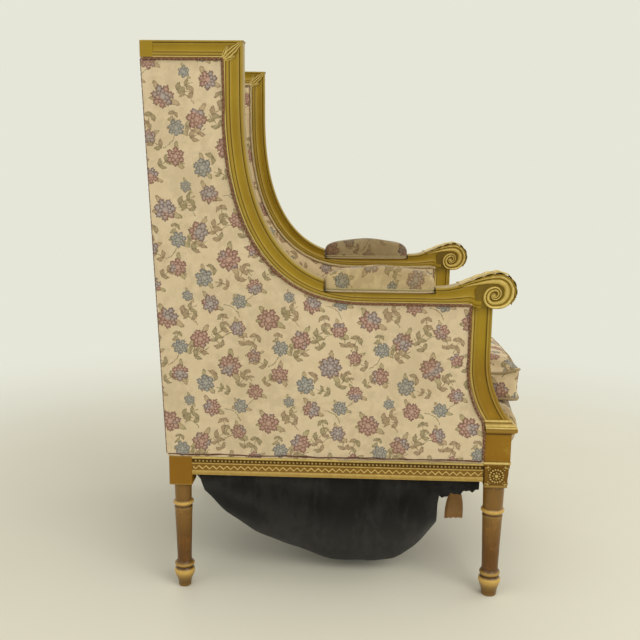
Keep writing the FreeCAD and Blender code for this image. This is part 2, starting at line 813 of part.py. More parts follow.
def seat_cushion():
    """Loose boxed cushion: crowned top, bulging boxing, drawn-in ends and a front that bows."""
    rear = rear_line(deck_top) + upright_width + 6 + back_pad_thickness + 12
    bottom = deck_top + fit_clearance
    inner = side_pad_inner_face + cushion_side_gap

    def section(share, shrink, crown):
        def at(back, height):
            wide = half_width(back) - inner
            return (share * wide, half_depth - back, height)
        bow = front_rail_bow * (1 - share ** 2)
        b0 = rear + 6 + shrink
        b1 = cushion_front_corner - cushion_nose - shrink + bow
        low = bottom + shrink
        high = bottom + cushion_boxing - shrink
        middle = (low + high) / 2
        return [
            line(at(b0, low), at(b1, low)),
            arc(at(b1, low), at(b1 + cushion_nose, middle), at(b1, high)),
            arc(at(b1, high), at((b0 + b1) / 2, high + crown), at(b0, high)),
            arc(at(b0, high), at(b0 - 6, middle), at(b0, low)),
        ]

    sections = []
    steps = 7
    for step in range(-steps, steps + 1):
        share = math.sin(step / steps * math.pi / 2)
        fullness = math.cos(step / steps * math.pi / 2) ** 0.5
        sections.append(section(share, 7 * (1 - fullness), cushion_crown * (0.25 + 0.75 * fullness)))
    return loft_rings(sections)


def inside_back_pad():
    """Stuffed inside back: flat behind, crowned in front, fuller low down where it meets the sitter."""
    inner = side_pad_inner_face + 1
    levels = [(deck_top + fit_clearance, 0.75), (deck_top + 40, 1.0), (650, 1.0), (880, 0.9), (1000, 0.8)]
    levels.append((overall_height - 14, 0.45))
    rings = []
    for height, fullness in levels:
        back = rear_line(height) + panel_thickness + upright_width + 3.5
        front = back + back_pad_thickness * fullness
        w0 = half_width(back) - inner
        w1 = half_width(front) - inner
        bulge = 14 * fullness
        rings.append([
            line(world(-w0, back, height), world(w0, back, height)),
            line(world(w0, back, height), world(w1, front - bulge, height)),
            arc(world(w1, front - bulge, height), world(0, front, height), world(-w1, front - bulge, height)),
            line(world(-w1, front - bulge, height), world(-w0, back, height)),
        ])
    return loft_rings(rings)


def side_outline(rear_gap, bottom, inner, clearance):
    """The opening of the side frame: rear line, under the top rail, along the swept member and down the support."""
    top = overall_height - wing_rail_height - clearance
    across = -2 * clearance / stile_width
    b0, z0 = sweep_point(across, 0)
    c0, y0 = sweep_point(across, 1)
    rear_low = rear_line(bottom) + rear_gap
    rear_high = rear_line(top) + rear_gap
    right = support_back - clearance
    edges = [
        line((rear_low, inner, bottom), (rear_high, inner, top)),
        line((rear_high, inner, top), (b0, inner, top)),
        line((b0, inner, top), (b0, inner, z0)),
        sweep_curve(across, inner),
        line((c0, inner, y0), (right, inner, y0)),
        line((right, inner, y0), (right, inner, bottom + 200)),
        line((right, inner, bottom + 200), (right, inner, bottom)),
        line((right, inner, bottom), (rear_low, inner, bottom)),
    ]
    return Part.Face(Part.Wire(Part.__sortEdges__(edges)))


filler_top = 480


def outside_side_panel(support, leg):
    """Outside cover of the side, flush in the frame from the seat rail up to the top rail."""
    face = side_outline(0.0, rail_show_top + 1 + fit_clearance, 1.0, fit_clearance)
    depth = 1.0
    behind = support_back - 1
    before = front_block_back - fit_clearance
    low = rail_show_top + 1 + fit_clearance
    filler = polygon([(behind, depth, low), (before, depth, low),
                      (before, depth, front_block_top + 10), (behind, depth, filler_top)])
    inward = Vector(0, panel_thickness, 0)
    panel = face.extrude(inward).fuse(filler.extrude(inward))
    grown = support.copy()
    grown.translate(Vector(-fit_clearance, 0, 0))
    panel = panel.cut(grown).cut(support).cut(leg)
    return panel.removeSplitter()


def inside_side_pad():
    """Stuffed inside of the wing and arm, from the deck up to the top rail."""
    outline = side_outline(panel_thickness + upright_width + 2, deck_top + fit_clearance, 0, fit_clearance)
    pad_back = panel_thickness + 5 + stay_rail_thickness + 2
    outline.translate(Vector(0, pad_back, 0))
    return outline.extrude(Vector(0, side_pad_inner_face - pad_back, 0))


def outside_back_panel():
    inner = panel_thickness + 1 + fit_clearance
    bottom = rail_show_top + 1 + fit_clearance
    top = overall_height - wing_rail_height - fit_clearance
    rings = []
    for height in (bottom, top):
        back = rear_line(height)
        w0 = half_width(back) - inner
        ring = [world(-w0, back, height), world(w0, back, height)]
        ring += [world(w0, back + panel_thickness, height), world(-w0, back + panel_thickness, height)]
        rings.append(Part.makePolygon(ring + ring[:1]))
    return Part.makeLoft(rings, True, True)


def arm_pad():
    """Stuffed pad on the arm: its rounded side view, carried inward, is cut down to its domed cross-section."""
    low = pad_seat_height + fit_clearance
    rear = pad_rear + fit_clearance
    front = pad_front - fit_clearance
    t0 = -pad_overhang
    t1 = side_member_thickness + pad_overhang
    middle = (t0 + t1) / 2
    long_middle = (rear + front) / 2
    shoulder = pad_top_height - 5
    side_view = [
        line((rear, t0, low), (front, t0, low)),
        arc((front, t0, low), (front - 3, t0, shoulder - 16), (front - 18, t0, shoulder)),
        arc((front - 18, t0, shoulder), (long_middle, t0, pad_top_height), (rear + 18, t0, shoulder)),
        arc((rear + 18, t0, shoulder), (rear + 3, t0, shoulder - 16), (rear, t0, low)),
    ]
    long_form = Part.Face(Part.Wire(side_view)).extrude(Vector(0, t1 - t0, 0))
    eaves = low + pad_thickness * 0.5
    across = [
        line((rear, t0, low), (rear, t1, low)),
        line((rear, t1, low), (rear, t1, eaves)),
        arc((rear, t1, eaves), (rear, middle, pad_top_height), (rear, t0, eaves)),
        line((rear, t0, eaves), (rear, t0, low)),
    ]
    cross_form = Part.Face(Part.Wire(across)).extrude(Vector(front - rear, 0, 0))
    return long_form.common(cross_form)


def side_gimp():
    """Braided trim on the edge of the outside cover, along the top rail and the swept member."""
    across = -gimp_width / stile_width
    gap = -fit_clearance / stile_width
    face_level = 1.0 - gimp_thickness
    top = overall_height - wing_rail_height - fit_clearance
    braid = swept_band(across, gap, face_level, 1.0, support_back - 1, top)
    along = block(3, face_level, top - gimp_width, stile_back - 6, gimp_thickness, gimp_width)
    return braid.fuse(along).removeSplitter()


back_strip_count = 4
first_back_strip = -160
back_strip_pitch = 105
back_strip_half = 25
side_strip_count = 4
first_side_strip = 110
side_strip_pitch = 120
side_strip_half = 20


def webbing_strips():
    """Webbing behind the stuffing of the back and the sides."""
    low = deck_top + stay_height_over_deck + stay_rail_height
    top = overall_height - 42
    back_strips = []
    for strip in range(back_strip_count):
        x = first_back_strip + back_strip_pitch * strip
        left, right = x - back_strip_half, x + back_strip_half
        rings = []
        for height in (low, top):
            back = rear_line(height) + panel_thickness + upright_width - 2
            ring = [world(left, back, height), world(right, back, height)]
            ring += [world(right, back + webbing_thickness, height), world(left, back + webbing_thickness, height)]
            rings.append(Part.makePolygon(ring + ring[:1]))
        back_strips.append(Part.makeLoft(rings, True, True))
    inner = stay_inset + stay_rail_thickness
    side_strips = []
    for strip in range(side_strip_count):
        back = first_side_strip + side_strip_pitch * strip
        front = back + side_strip_half
        high = overall_height - wing_rail_height if front < stile_back else upper_limit(front)
        corner = (back - side_strip_half, inner, low - 10)
        side_strips.append(block(*corner, 2 * side_strip_half, webbing_thickness, high - low + 8))
    return back_strips, side_strips


def upper_limit(back):
    """Underside of the swept member at a distance forward of the rear edge."""
    if back >= sweep_centre_back:
        return arm_underside
    reach = sweep_centre_back - stile_back
    share = ((sweep_centre_back - back) / reach) ** sweep_power
    return sweep_centre_height - (sweep_centre_height - arm_underside) * (1 - share) ** (1 / sweep_power) - 1


# Under the seat

def cloth_solid(grid, thickness):
    """A folded sheet: flat triangles through a grid of points, closed by the same ones moved by the thickness."""
    def fold(a, b, c):
        return Part.Face(Part.makePolygon([a, b, c, a]))

    faces = []
    rows = len(grid)
    columns = len(grid[0])
    for shift in (Vector(0, 0, 0), thickness):
        for i in range(rows - 1):
            for j in range(columns - 1):
                a, b = grid[i][j] + shift, grid[i][j + 1] + shift
                c, d = grid[i + 1][j] + shift, grid[i + 1][j + 1] + shift
                faces.append(fold(a, b, d))
                faces.append(fold(a, d, c))
    border = [grid[0][j] for j in range(columns)] + [grid[i][-1] for i in range(1, rows)]
    border += [grid[-1][j] for j in range(columns - 2, -1, -1)] + [grid[i][0] for i in range(rows - 2, 0, -1)]
    for a, b in zip(border, border[1:] + border[:1]):
        faces.append(fold(a, b, b + thickness))
        faces.append(fold(a, b + thickness, a + thickness))
    solid = Part.Solid(Part.Shell(faces))
    if solid.Volume < 0:
        solid.reverse()
    return solid


cover_thickness = 1.6
cover_leg_end = 90
cover_leg_gap = 6
cover_rail_inset = rail_inset + 15
cover_lowest_share = 0.17
# The cover's lowest line, as (back, height) points that the photograph's outline gives
cover_low_line = [
    (60, 232), (84, 196), (96, 176), (140, 130), (200, 90), (270, 55),
    (360, 29), (448, 19), (500, 34), (545, 64), (578, 104),
]
cover_shares = [0, 0.05, 0.1, cover_lowest_share, 0.26, 0.38, 0.52, 0.68, 0.84, 1]


def hammock(share):
    """How far the hanging cloth has dropped across its width: steep near one rail, a long slope to the other."""
    if share < cover_lowest_share:
        return math.sin(math.pi / 2 * share / cover_lowest_share)
    return math.cos(math.pi / 2 * (share - cover_lowest_share) / (1 - cover_lowest_share)) ** 0.9


def dust_cover():
    """Cambric cover that has come down from the front and hangs like a hammock, lowest near the right side."""
    edge = rail_bottom - 2 * webbing_thickness - fit_clearance
    legs_inner = rear_block_inset + rear_block_size + cover_leg_gap
    upper = []
    for back, low in cover_low_line:
        inner = legs_inner if back < cover_leg_end else cover_rail_inset
        left = half_width(back) - inner
        drop = edge - low - cover_thickness
        row = [(left * (2 * share - 1), edge - drop * hammock(share)) for share in cover_shares]
        upper.append([world(x, back, height) for x, height in row])
    return cloth_solid(upper, Vector(0, 0, -cover_thickness))


tail_inset = 100
tail_back = 617
tail_root_half = 6
tail_swing = 6


def webbing_tail():
    """A loose end of webbing that hangs below the front of the seat."""
    edge = rail_bottom - 2 * webbing_thickness
    x = -half_width(610) + tail_inset
    swung = x + tail_swing
    ring = [world(x, tail_back - tail_root_half, edge), world(x, tail_back + tail_root_half, edge)]
    ring += [world(swung, 642, edge - 116), world(swung, 603, edge - 122)]
    face = Part.Face([Part.makePolygon([ring[0], ring[1], ring[2], ring[0]])])
    lower = Part.Face([Part.makePolygon([ring[0], ring[2], ring[3], ring[0]])])
    thickness = Vector(webbing_thickness, 0, 0)
    return face.extrude(thickness).fuse(lower.extrude(thickness)).removeSplitter()


def cut_all(shape, tools):
    for tool in tools:
        shape = shape.cut(tool)
    return shape


def build():
    member = swept_member()
    support = arm_support()
    leg = front_leg()
    side_bores = side_dowels(bore_clearance)
    cross_bores = cross_dowels(bore_clearance)
    front_rail = cut_all(front_seat_rail(), cross_bores)
    blocks, screws, screw_holes = corner_blocks(front_rail)
    save_pair("wing_stile", cut_all(wing_stile(member), side_bores))
    save_pair("wing_top_rail", cut_all(wing_top_rail(), side_bores))
    save_pair("arm_rail", cut_all(arm_rail(member), side_bores))
    save_pair("arm_support", cut_all(support, side_bores))
    for hand in ("left", "right"):
        save("front_leg_" + hand, cut_all(on_side(cut_all(leg, side_bores), hand), cross_bores))
        save("back_post_" + hand, cut_all(on_side(cut_all(back_post(), side_bores), hand), cross_bores))
    save_pair("side_seat_rail", cut_all(side_seat_rail(), side_bores + screw_holes))
    save("front_seat_rail", front_rail)
    save("rear_seat_rail", cut_all(rear_seat_rail(), cross_bores))
    save("crest_rail", crest_rail())
    back_stay, side_stay = stay_rails()
    save("back_stay_rail", back_stay)
    save_pair("side_stay_rail", side_stay)
    save("corner_blocks", Part.makeCompound(blocks))
    save("corner_block_screws", Part.makeCompound(screws))
    side_pins = [on_side(pin, hand) for pin in side_dowels() for hand in ("left", "right")]
    save("frame_dowels", Part.makeCompound(side_pins + cross_dowels()))
    save("seat_webbing", Part.makeCompound(seat_webbing()))
    save("seat_springs", Part.makeCompound(seat_springs()))
    burlap, deck = deck_layers()
    save("spring_burlap", burlap)
    save("seat_deck_pad", deck)
    save("front_roll", front_roll())
    save("seat_cushion", seat_cushion())
    save("inside_back_pad", inside_back_pad())
    save_pair("inside_side_pad", inside_side_pad())
    save("outside_back_panel", outside_back_panel())
    save_pair("outside_side_panel", outside_side_panel(support, leg))
    save_pair("arm_pad", arm_pad())
    save_pair("side_gimp", side_gimp())
    back_strips, side_strips = webbing_strips()
    save("back_webbing", Part.makeCompound(back_strips))
    save_pair("side_webbing", Part.makeCompound(side_strips))
    save("dust_cover", dust_cover())
    save("webbing_tail", webbing_tail())


build()
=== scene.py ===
"""Wing bergere armchair: carved painted frame, floral tapestry covers, loose cushion, fallen dust cover."""
import math

import bmesh
import bpy
import numpy as np
from mathutils import Matrix, Vector
from mathutils.bvhtree import BVHTree

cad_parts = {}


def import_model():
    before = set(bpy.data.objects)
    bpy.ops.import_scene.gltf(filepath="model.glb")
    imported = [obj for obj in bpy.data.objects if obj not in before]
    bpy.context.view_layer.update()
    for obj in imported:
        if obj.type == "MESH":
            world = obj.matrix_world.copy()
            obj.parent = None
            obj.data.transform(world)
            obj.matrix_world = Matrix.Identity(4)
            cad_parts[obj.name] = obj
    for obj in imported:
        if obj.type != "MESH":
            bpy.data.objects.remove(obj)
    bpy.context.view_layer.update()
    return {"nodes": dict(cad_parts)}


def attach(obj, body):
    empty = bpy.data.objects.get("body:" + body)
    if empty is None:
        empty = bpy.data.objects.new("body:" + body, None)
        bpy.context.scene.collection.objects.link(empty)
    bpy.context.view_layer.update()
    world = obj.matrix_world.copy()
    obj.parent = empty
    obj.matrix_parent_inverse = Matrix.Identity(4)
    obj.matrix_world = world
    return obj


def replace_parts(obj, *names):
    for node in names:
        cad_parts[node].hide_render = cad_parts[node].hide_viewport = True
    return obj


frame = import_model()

# Sizes in millimetres. A point of a side is (forward from the rear top edge, inward, up)
overall_height = 1080.0
half_depth = 378.0
rear_half_width = 289.0
splay = math.radians(2.07)
rake = math.tan(math.radians(2.42))
member_thickness = 40.0
stile_back = 154.0
stile_width = 34.0
arm_underside = 603.0
arm_thickness = 29.0
sweep_back = 430.0
sweep_height = 990.0
sweep_power = 2.5
elbow_back = 334.0
top_rail_height = 30.0
mitre_front = 190.0
pad_rear = 341.0
pad_front = 553.0
pad_seat = 622.0
support_back = 623.0
support_front = 662.0
support_foot = 376.0
block_back = 659.0
block_size = 51.0
die_top = 286.0
die_bottom = 236.0
die_taper = 3.0
rail_inset = 3.0
deck_top = 394.0
front_rail_face = 707.0
front_bow = 14.0
hands = ("left", "right")


# Placing and mesh helpers

def half_width(back):
    """Half the chair's outer width at a distance forward of the rear top edge."""
    return rear_half_width + back * math.tan(splay)


def rear_line(height):
    """The raked rear face, forward of the rear top edge, at a height."""
    return (overall_height - height) * rake


def from_side(points, hand):
    """Side coordinates to the chair's own, in metres: a turn by the splay, mirrored for the left side."""
    forward, inward, up = points[..., 0], points[..., 1], points[..., 2]
    x = -rear_half_width - forward * math.sin(splay) + inward * math.cos(splay)
    y = half_depth - forward * math.cos(splay) - inward * math.sin(splay)
    return np.stack([-x if hand == "left" else x, y, up], -1) / 1000


def from_chair(points):
    """(across, forward from the rear top edge, up) in millimetres to the chair's own metres."""
    return np.stack([points[..., 0], half_depth - points[..., 1], points[..., 2]], -1) / 1000


def ease(x, low, high):
    """0 below low, 1 above high, and a smooth cubic between."""
    t = np.clip((x - low) / (high - low), 0, 1)
    return t * t * (3 - 2 * t)


def spread(*parts):
    """Coordinates whose shapes match or repeat, as one array of points."""
    return np.stack(np.broadcast_arrays(*parts), -1)


def path_length(points):
    """Length along a line of points, from nought at its first."""
    return np.concatenate([[0], np.cumsum(np.linalg.norm(np.diff(points, axis=0), axis=1))])


class Form:
    """Grids of points in one mesh; each point has a gilding, a grime-and-shade value, which darkens grooves,
    hollows and undersides as painted shade with some dirt, and a place on the cloth.
    """

    def __init__(self):
        self.points = []
        self.tones = []
        self.cloth = []
        self.faces = []
        self.count = 0

    def add(self, points, gild=0.0, grime_and_shade=0.0, cloth=None):
        """Points without faces; gives their numbers in the shape they came in."""
        shape = points.shape[:-1]
        size = int(np.prod(shape))
        self.points.append(points.reshape(-1, 3))
        tones = [np.broadcast_to(value, shape).reshape(-1) for value in (gild, grime_and_shade)]
        self.tones.append(np.stack(tones, -1))
        self.cloth.append(np.zeros((size, 2)) if cloth is None else cloth.reshape(-1, 2))
        numbers = np.arange(size).reshape(shape) + self.count
        self.count += size
        return numbers

    def grid(self, points, gild=0.0, grime_and_shade=0.0, cloth=None, ring=False, ends=False):
        """Rows and columns; ring joins the last column to the first, ends closes the first and last row."""
        numbers = self.add(points, gild, grime_and_shade, cloth)
        wide = np.hstack([numbers, numbers[:, :1]]) if ring else numbers
        quads = np.stack([wide[:-1, :-1], wide[1:, :-1], wide[1:, 1:], wide[:-1, 1:]], -1)
        self.faces += quads.reshape(-1, 4).tolist()
        if ends:
            for row in (0, -1):
                middle = points[row].mean(0)[None, :]
                tone = [np.broadcast_to(value, points.shape[:-1])[row].mean() for value in (gild, grime_and_shade)]
                hub = self.add(middle, tone[0], tone[1])[0]
                line = wide[row].tolist()
                self.faces += [[a, b, hub] for a, b in zip(line[:-1], line[1:])]
        return numbers

    def tube(self, path, radius, sides=6, closed=False, gild=0.0, grime_and_shade=0.0, up=(0.0, 0.0, 1.0)):
        """A round section carried along a path: each ring lies across the path's direction."""
        ahead = np.roll(path, -1, 0) - np.roll(path, 1, 0)
        if not closed:
            ahead[0] = path[1] - path[0]
            ahead[-1] = path[-1] - path[-2]
        ahead /= np.linalg.norm(ahead, axis=1)[:, None] + 1e-12
        side = np.cross(ahead, np.array(up))
        side /= np.linalg.norm(side, axis=1)[:, None] + 1e-12
        over = np.cross(side, ahead)
        turn = np.linspace(0, 2 * np.pi, sides, endpoint=False)
        reach = np.broadcast_to(np.asarray(radius, float), (len(path),))[:, None, None]
        rings = side[:, None] * np.cos(turn)[None, :, None] + over[:, None] * np.sin(turn)[None, :, None]
        rings = path[:, None] + rings * reach
        if closed:
            rings = np.concatenate([rings, rings[:1]])
        length = path_length(path)
        if closed:
            length = np.append(length, length[-1])
        cloth = spread(length[:, None], turn[None] * 2)
        self.grid(rings, gild, grime_and_shade, cloth, ring=True, ends=not closed)

    def piece(self, name, finish, hand=None, angle=38.0, body="frame"):
        """The gathered mesh as an object that rides on its body."""
        points = np.concatenate(self.points)
        placed = from_chair(points) if hand is None else from_side(points, hand)
        label = name if hand is None else name + "_" + hand
        mesh = bpy.data.meshes.new(label)
        mesh.from_pydata(placed.tolist(), [], self.faces)
        tones = np.concatenate(self.tones)
        # The grime_and_shade attribute: painted shade in grooves, hollows and undersides, with some dirt
        for index, word in enumerate(("gild", "grime_and_shade")):
            layer = mesh.attributes.new(word, "FLOAT", "POINT")
            layer.data.foreach_set("value", tones[:, index].astype(np.float32))
        corners = np.zeros(len(mesh.loops), np.int32)
        mesh.loops.foreach_get("vertex_index", corners)
        sheet = mesh.uv_layers.new(name="cloth")
        places = np.concatenate(self.cloth) / 1000
        sheet.data.foreach_set("uv", places[corners].astype(np.float32).ravel())
        work = bmesh.new()
        work.from_mesh(mesh)
        bmesh.ops.remove_doubles(work, verts=work.verts, dist=1e-6)
        bmesh.ops.recalc_face_normals(work, faces=work.faces)
        work.to_mesh(mesh)
        work.free()
        return settle(label, mesh, finish, angle, body)


def settle(label, mesh, finish, angle=38.0, body="frame"):
    """Smooth shading up to an angle, a finish and a body to ride on."""
    mesh.materials.append(finish)
    mesh.shade_smooth()
    mesh.set_sharp_from_angle(angle=math.radians(angle))
    obj = bpy.data.objects.new(label, mesh)
    bpy.context.scene.collection.objects.link(obj)
    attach(obj, body)
    return obj


def thick_cover(form, front, back, cloth):
    """A cover with a face and a back: two grids and the border between them."""
    form.grid(front, cloth=cloth)
    form.grid(back, cloth=cloth)
    for pick in (np.s_[0, :], np.s_[-1, :], np.s_[:, 0], np.s_[:, -1]):
        form.grid(np.stack([front[pick], back[pick]]), cloth=np.stack([cloth[pick], cloth[pick]]))


def rounded_ring(b0, b1, t0, t1, corner, steps=4):
    """A level rectangle with rounded corners as (forward, inward) points, anticlockwise."""
    turn = np.linspace(0, np.pi / 2, steps)
    ring = []
    for quarter, (b, t) in enumerate(((b1, t1), (b0, t1), (b0, t0), (b1, t0))):
        angle = turn + quarter * np.pi / 2
        centre = (b - corner if quarter in (0, 3) else b + corner,
                  t - corner if quarter in (0, 1) else t + corner)
        ring.append(np.stack([centre[0] + corner * np.cos(angle), centre[1] + corner * np.sin(angle)], -1))
    return np.concatenate(ring)


def stack_block(form, levels, corner=1.2):
    """A closed block of rounded rectangles at rising heights: (height, b0, b1, t0, t1, gild, grime and
    painted shade).
    """
    rows = []
    for height, b0, b1, t0, t1, gild, grime_and_shade in levels:
        ring = rounded_ring(b0, b1, t0, t1, corner)
        rows.append(np.column_stack([ring, np.full(len(ring), height)]))
    gild = np.array([level[5] for level in levels])[:, None]
    grime_and_shade = np.array([level[6] for level in levels])[:, None]
    form.grid(np.array(rows), gild, grime_and_shade, ring=True, ends=True)


def soft_box(form, b0, b1, t0, t1, z0, z1, edge=1.0, gild=0.35):
    """A plain block with eased edges, whose arrises are rubbed a little paler."""
    levels = [
        # The lowest edge is darkened as painted shade under the block
        (z0, b0 + edge, b1 - edge, t0 + edge, t1 - edge, 0.0, 0.3),
        (z0 + edge, b0, b1, t0, t1, gild, 0.0),
        (z0 + 3 * edge, b0, b1, t0, t1, 0.0, 0.0),
        (z1 - 3 * edge, b0, b1, t0, t1, 0.0, 0.0),
        (z1 - edge, b0, b1, t0, t1, gild, 0.0),
        (z1, b0 + edge, b1 - edge, t0 + edge, t1 - edge, 0.1, 0.0),
    ]
    stack_block(form, levels)


# Node helpers

def put(tree, kind, inputs=None, **settings):
    """A node with its settings; inputs maps sockets to links or plain values."""
    node = tree.nodes.new(kind)
    for word, value in settings.items():
        setattr(node, word, value)
    for key, value in (inputs or {}).items():
        if isinstance(value, bpy.types.NodeSocket):
            tree.links.new(value, node.inputs[key])
        else:
            node.inputs[key].default_value = value
    return node


def calc(tree, operation, a, b=0.0, c=0.0, clamp=False):
    """One arithmetic step."""
    inputs = {0: a, 1: b, 2: c}
    return put(tree, "ShaderNodeMath", inputs, operation=operation, use_clamp=clamp).outputs[0]


def times(tree, a, b, clamp=False):
    """a times b."""
    return calc(tree, "MULTIPLY", a, b, clamp=clamp)


def fused(tree, a, b, c, clamp=False):
    """a times b, plus c."""
    return calc(tree, "MULTIPLY_ADD", a, b, c, clamp)


def vector_calc(tree, operation, *inputs, output=0, **named):
    """One step of vector arithmetic."""
    values = {**dict(enumerate(inputs)), **named}
    return put(tree, "ShaderNodeVectorMath", values, operation=operation).outputs[output]


def axis(tree, vector, number):
    """One coordinate of a vector, as its dot product with that axis."""
    way = [0.0, 0.0, 0.0]
    way[number] = 1.0
    return vector_calc(tree, "DOT_PRODUCT", vector, way, output="Value")


def blend(tree, share, a, b, mode="MIX"):
    """Mix two colours by a share."""
    node = put(tree, "ShaderNodeMix", {0: share, 6: a, 7: b}, data_type="RGBA", blend_type=mode)
    return node.outputs[2]


def ramp(tree, value, stops):
    """A colour ramp from (place, colour) stops."""
    node = put(tree, "ShaderNodeValToRGB", {0: value})
    bar = node.color_ramp.elements
    for index, (place, colour) in enumerate(stops):
        stop = bar[index] if index < 2 else bar.new(place)
        stop.position = place
        stop.color = colour
    return node.outputs[0]


def noise(tree, vector, scale, detail=3.0, roughness=0.55):
    """Soft noise between 0 and 1."""
    inputs = {"Vector": vector, "Scale": scale, "Detail": detail, "Roughness": roughness}
    return put(tree, "ShaderNodeTexNoise", inputs).outputs[0]


def span(tree, value, low, high):
    """A value carried from low..high to 0..1 with a smooth step."""
    inputs = {"Value": value, "From Min": low, "From Max": high}
    return put(tree, "ShaderNodeMapRange", inputs, interpolation_type="SMOOTHSTEP").outputs[0]


def paint(red, green, blue):
    """A colour from its 0..255 screen values to the linear one that shaders take."""
    def linear(value):
        share = value / 255
        return share / 12.92 if share <= 0.04045 else ((share + 0.055) / 1.055) ** 2.4
    return (linear(red), linear(green), linear(blue), 1.0)


def new_group(name, inputs, outputs):
    """An empty node group with named sockets; gives the tree, its input node and its output node."""
    tree = bpy.data.node_groups.new(name, "ShaderNodeTree")
    kinds = {"value": "NodeSocketFloat", "vector": "NodeSocketVector", "colour": "NodeSocketColor"}
    for word, kind in inputs:
        tree.interface.new_socket(word, in_out="INPUT", socket_type=kinds[kind])
    for word, kind in outputs:
        tree.interface.new_socket(word, in_out="OUTPUT", socket_type=kinds[kind])
    return tree, tree.nodes.new("NodeGroupInput").outputs, tree.nodes.new("NodeGroupOutput").inputs


def use(tree, group, **inputs):
    """Place a node group; input names take _ for a blank."""
    values = {word.replace("_", " "): value for word, value in inputs.items()}
    return put(tree, "ShaderNodeGroup", values, node_tree=group).outputs


def new_finish(name):
    """A material with its tree and its principled shader."""
    finish = bpy.data.materials.new(name)
    finish.use_nodes = True
    tree = finish.node_tree
    return finish, tree, tree.nodes["Principled BSDF"]


def bump(tree, shader, height, distance, strength=1.0):
    """Relief from a height value, in metres."""
    inputs = {"Strength": strength, "Distance": distance, "Height": height}
    tree.links.new(put(tree, "ShaderNodeBump", inputs).outputs[0], shader.inputs["Normal"])


# Shared effects

def weave_group():
    """Threads over and under: two sets of rounded ridges that swap on a chequer. Thread is the spacing."""
    tree, given, out = new_group("Weave", [("Cloth", "vector"), ("Thread", "value")], [("Height", "value")])
    axes = [axis(tree, given["Cloth"], number) for number in (0, 1)]
    along = calc(tree, "DIVIDE", axes[0], given["Thread"])
    over = calc(tree, "DIVIDE", axes[1], given["Thread"])
    ridge_a = calc(tree, "ABSOLUTE", calc(tree, "SINE", times(tree, along, math.pi)))
    ridge_b = calc(tree, "ABSOLUTE", calc(tree, "SINE", times(tree, over, math.pi)))
    cell = calc(tree, "ADD", calc(tree, "FLOOR", along), calc(tree, "FLOOR", over))
    swap = times(tree, calc(tree, "FRACT", times(tree, cell, 0.5)), 2.0)
    one = times(tree, ridge_a, swap)
    two = times(tree, ridge_b, calc(tree, "SUBTRACT", 1.0, swap))
    tree.links.new(calc(tree, "ADD", one, two), out["Height"])
    return tree


def local_group(repeat):
    """A point of the cloth seen from a motif's centre, in millimetres, repeated over the cloth and turned."""
    inputs = [("Cloth", "vector"), ("Centre", "vector"), ("Turn", "value")]
    tree, given, out = new_group("Motif place", inputs, [("Place", "vector")])
    shifted = vector_calc(tree, "SUBTRACT", given["Cloth"], given["Centre"])
    half = [size / 2 for size in repeat] + [1.0]
    low = [-size for size in half]
    wrapped = vector_calc(tree, "WRAP", shifted, half, low)
    turned = put(tree, "ShaderNodeVectorRotate", {"Vector": wrapped, "Angle": given["Turn"]},
                 rotation_type="Z_AXIS")
    tree.links.new(turned.outputs[0], out["Place"])
    return tree


def blossom_group():
    """A full flower: three rows of petals, each lighter inside its dark rim, and leaves behind them."""
    inputs = [("Place", "vector"), ("Radius", "value"), ("Petals", "value")]
    tree, given, out = new_group("Blossom", inputs,
                                 [("Mask", "value"), ("Tone", "value"), ("Leaves", "value")])
    axes = [axis(tree, given["Place"], number) for number in (0, 1)]
    reach = vector_calc(tree, "LENGTH", given["Place"], output="Value")
    share = calc(tree, "DIVIDE", reach, given["Radius"])
    angle = calc(tree, "ARCTAN2", axes[1], axes[0])
    beat = times(tree, angle, times(tree, given["Petals"], 0.5))
    tooth = times(tree, calc(tree, "COSINE", times(tree, beat, 6.0)), 0.05)
    tone, mask = None, None
    for size, wave, soft in ((1.0, "COSINE", 3.4), (0.7, "SINE", 4.4), (0.4, "COSINE", 5.5)):
        lobe = calc(tree, "POWER", calc(tree, "ABSOLUTE", calc(tree, wave, beat)), 0.7)
        edge = times(tree, calc(tree, "ADD", fused(tree, lobe, 0.34, 0.64), tooth), size)
        inside = calc(tree, "SUBTRACT", edge, share)
        row = times(tree, inside, soft, clamp=True)
        on_row = calc(tree, "GREATER_THAN", inside, 0.0)
        mask = on_row if mask is None else mask
        tone = row if tone is None else put(tree, "ShaderNodeMix", {0: on_row, 2: tone, 3: row}).outputs[0]
    wide = calc(tree, "ABSOLUTE", calc(tree, "SINE", fused(tree, angle, 2.5, given["Radius"])))
    skew = fused(tree, calc(tree, "SINE", fused(tree, angle, 2.0, given["Radius"])), 0.5, 0.5)
    tip = fused(tree, calc(tree, "POWER", wide, 4.0), times(tree, skew, 1.05), 0.6)
    behind = calc(tree, "SUBTRACT", tip, share)
    leaf_edge = times(tree, calc(tree, "GREATER_THAN", behind, 0.0), 0.35)
    leaves = calc(tree, "ADD", leaf_edge, times(tree, behind, 2.4, clamp=True), clamp=True)
    tree.links.new(mask, out["Mask"])
    tree.links.new(fused(tree, tone, 0.8, 0.14), out["Tone"])
    tree.links.new(leaves, out["Leaves"])
    return tree


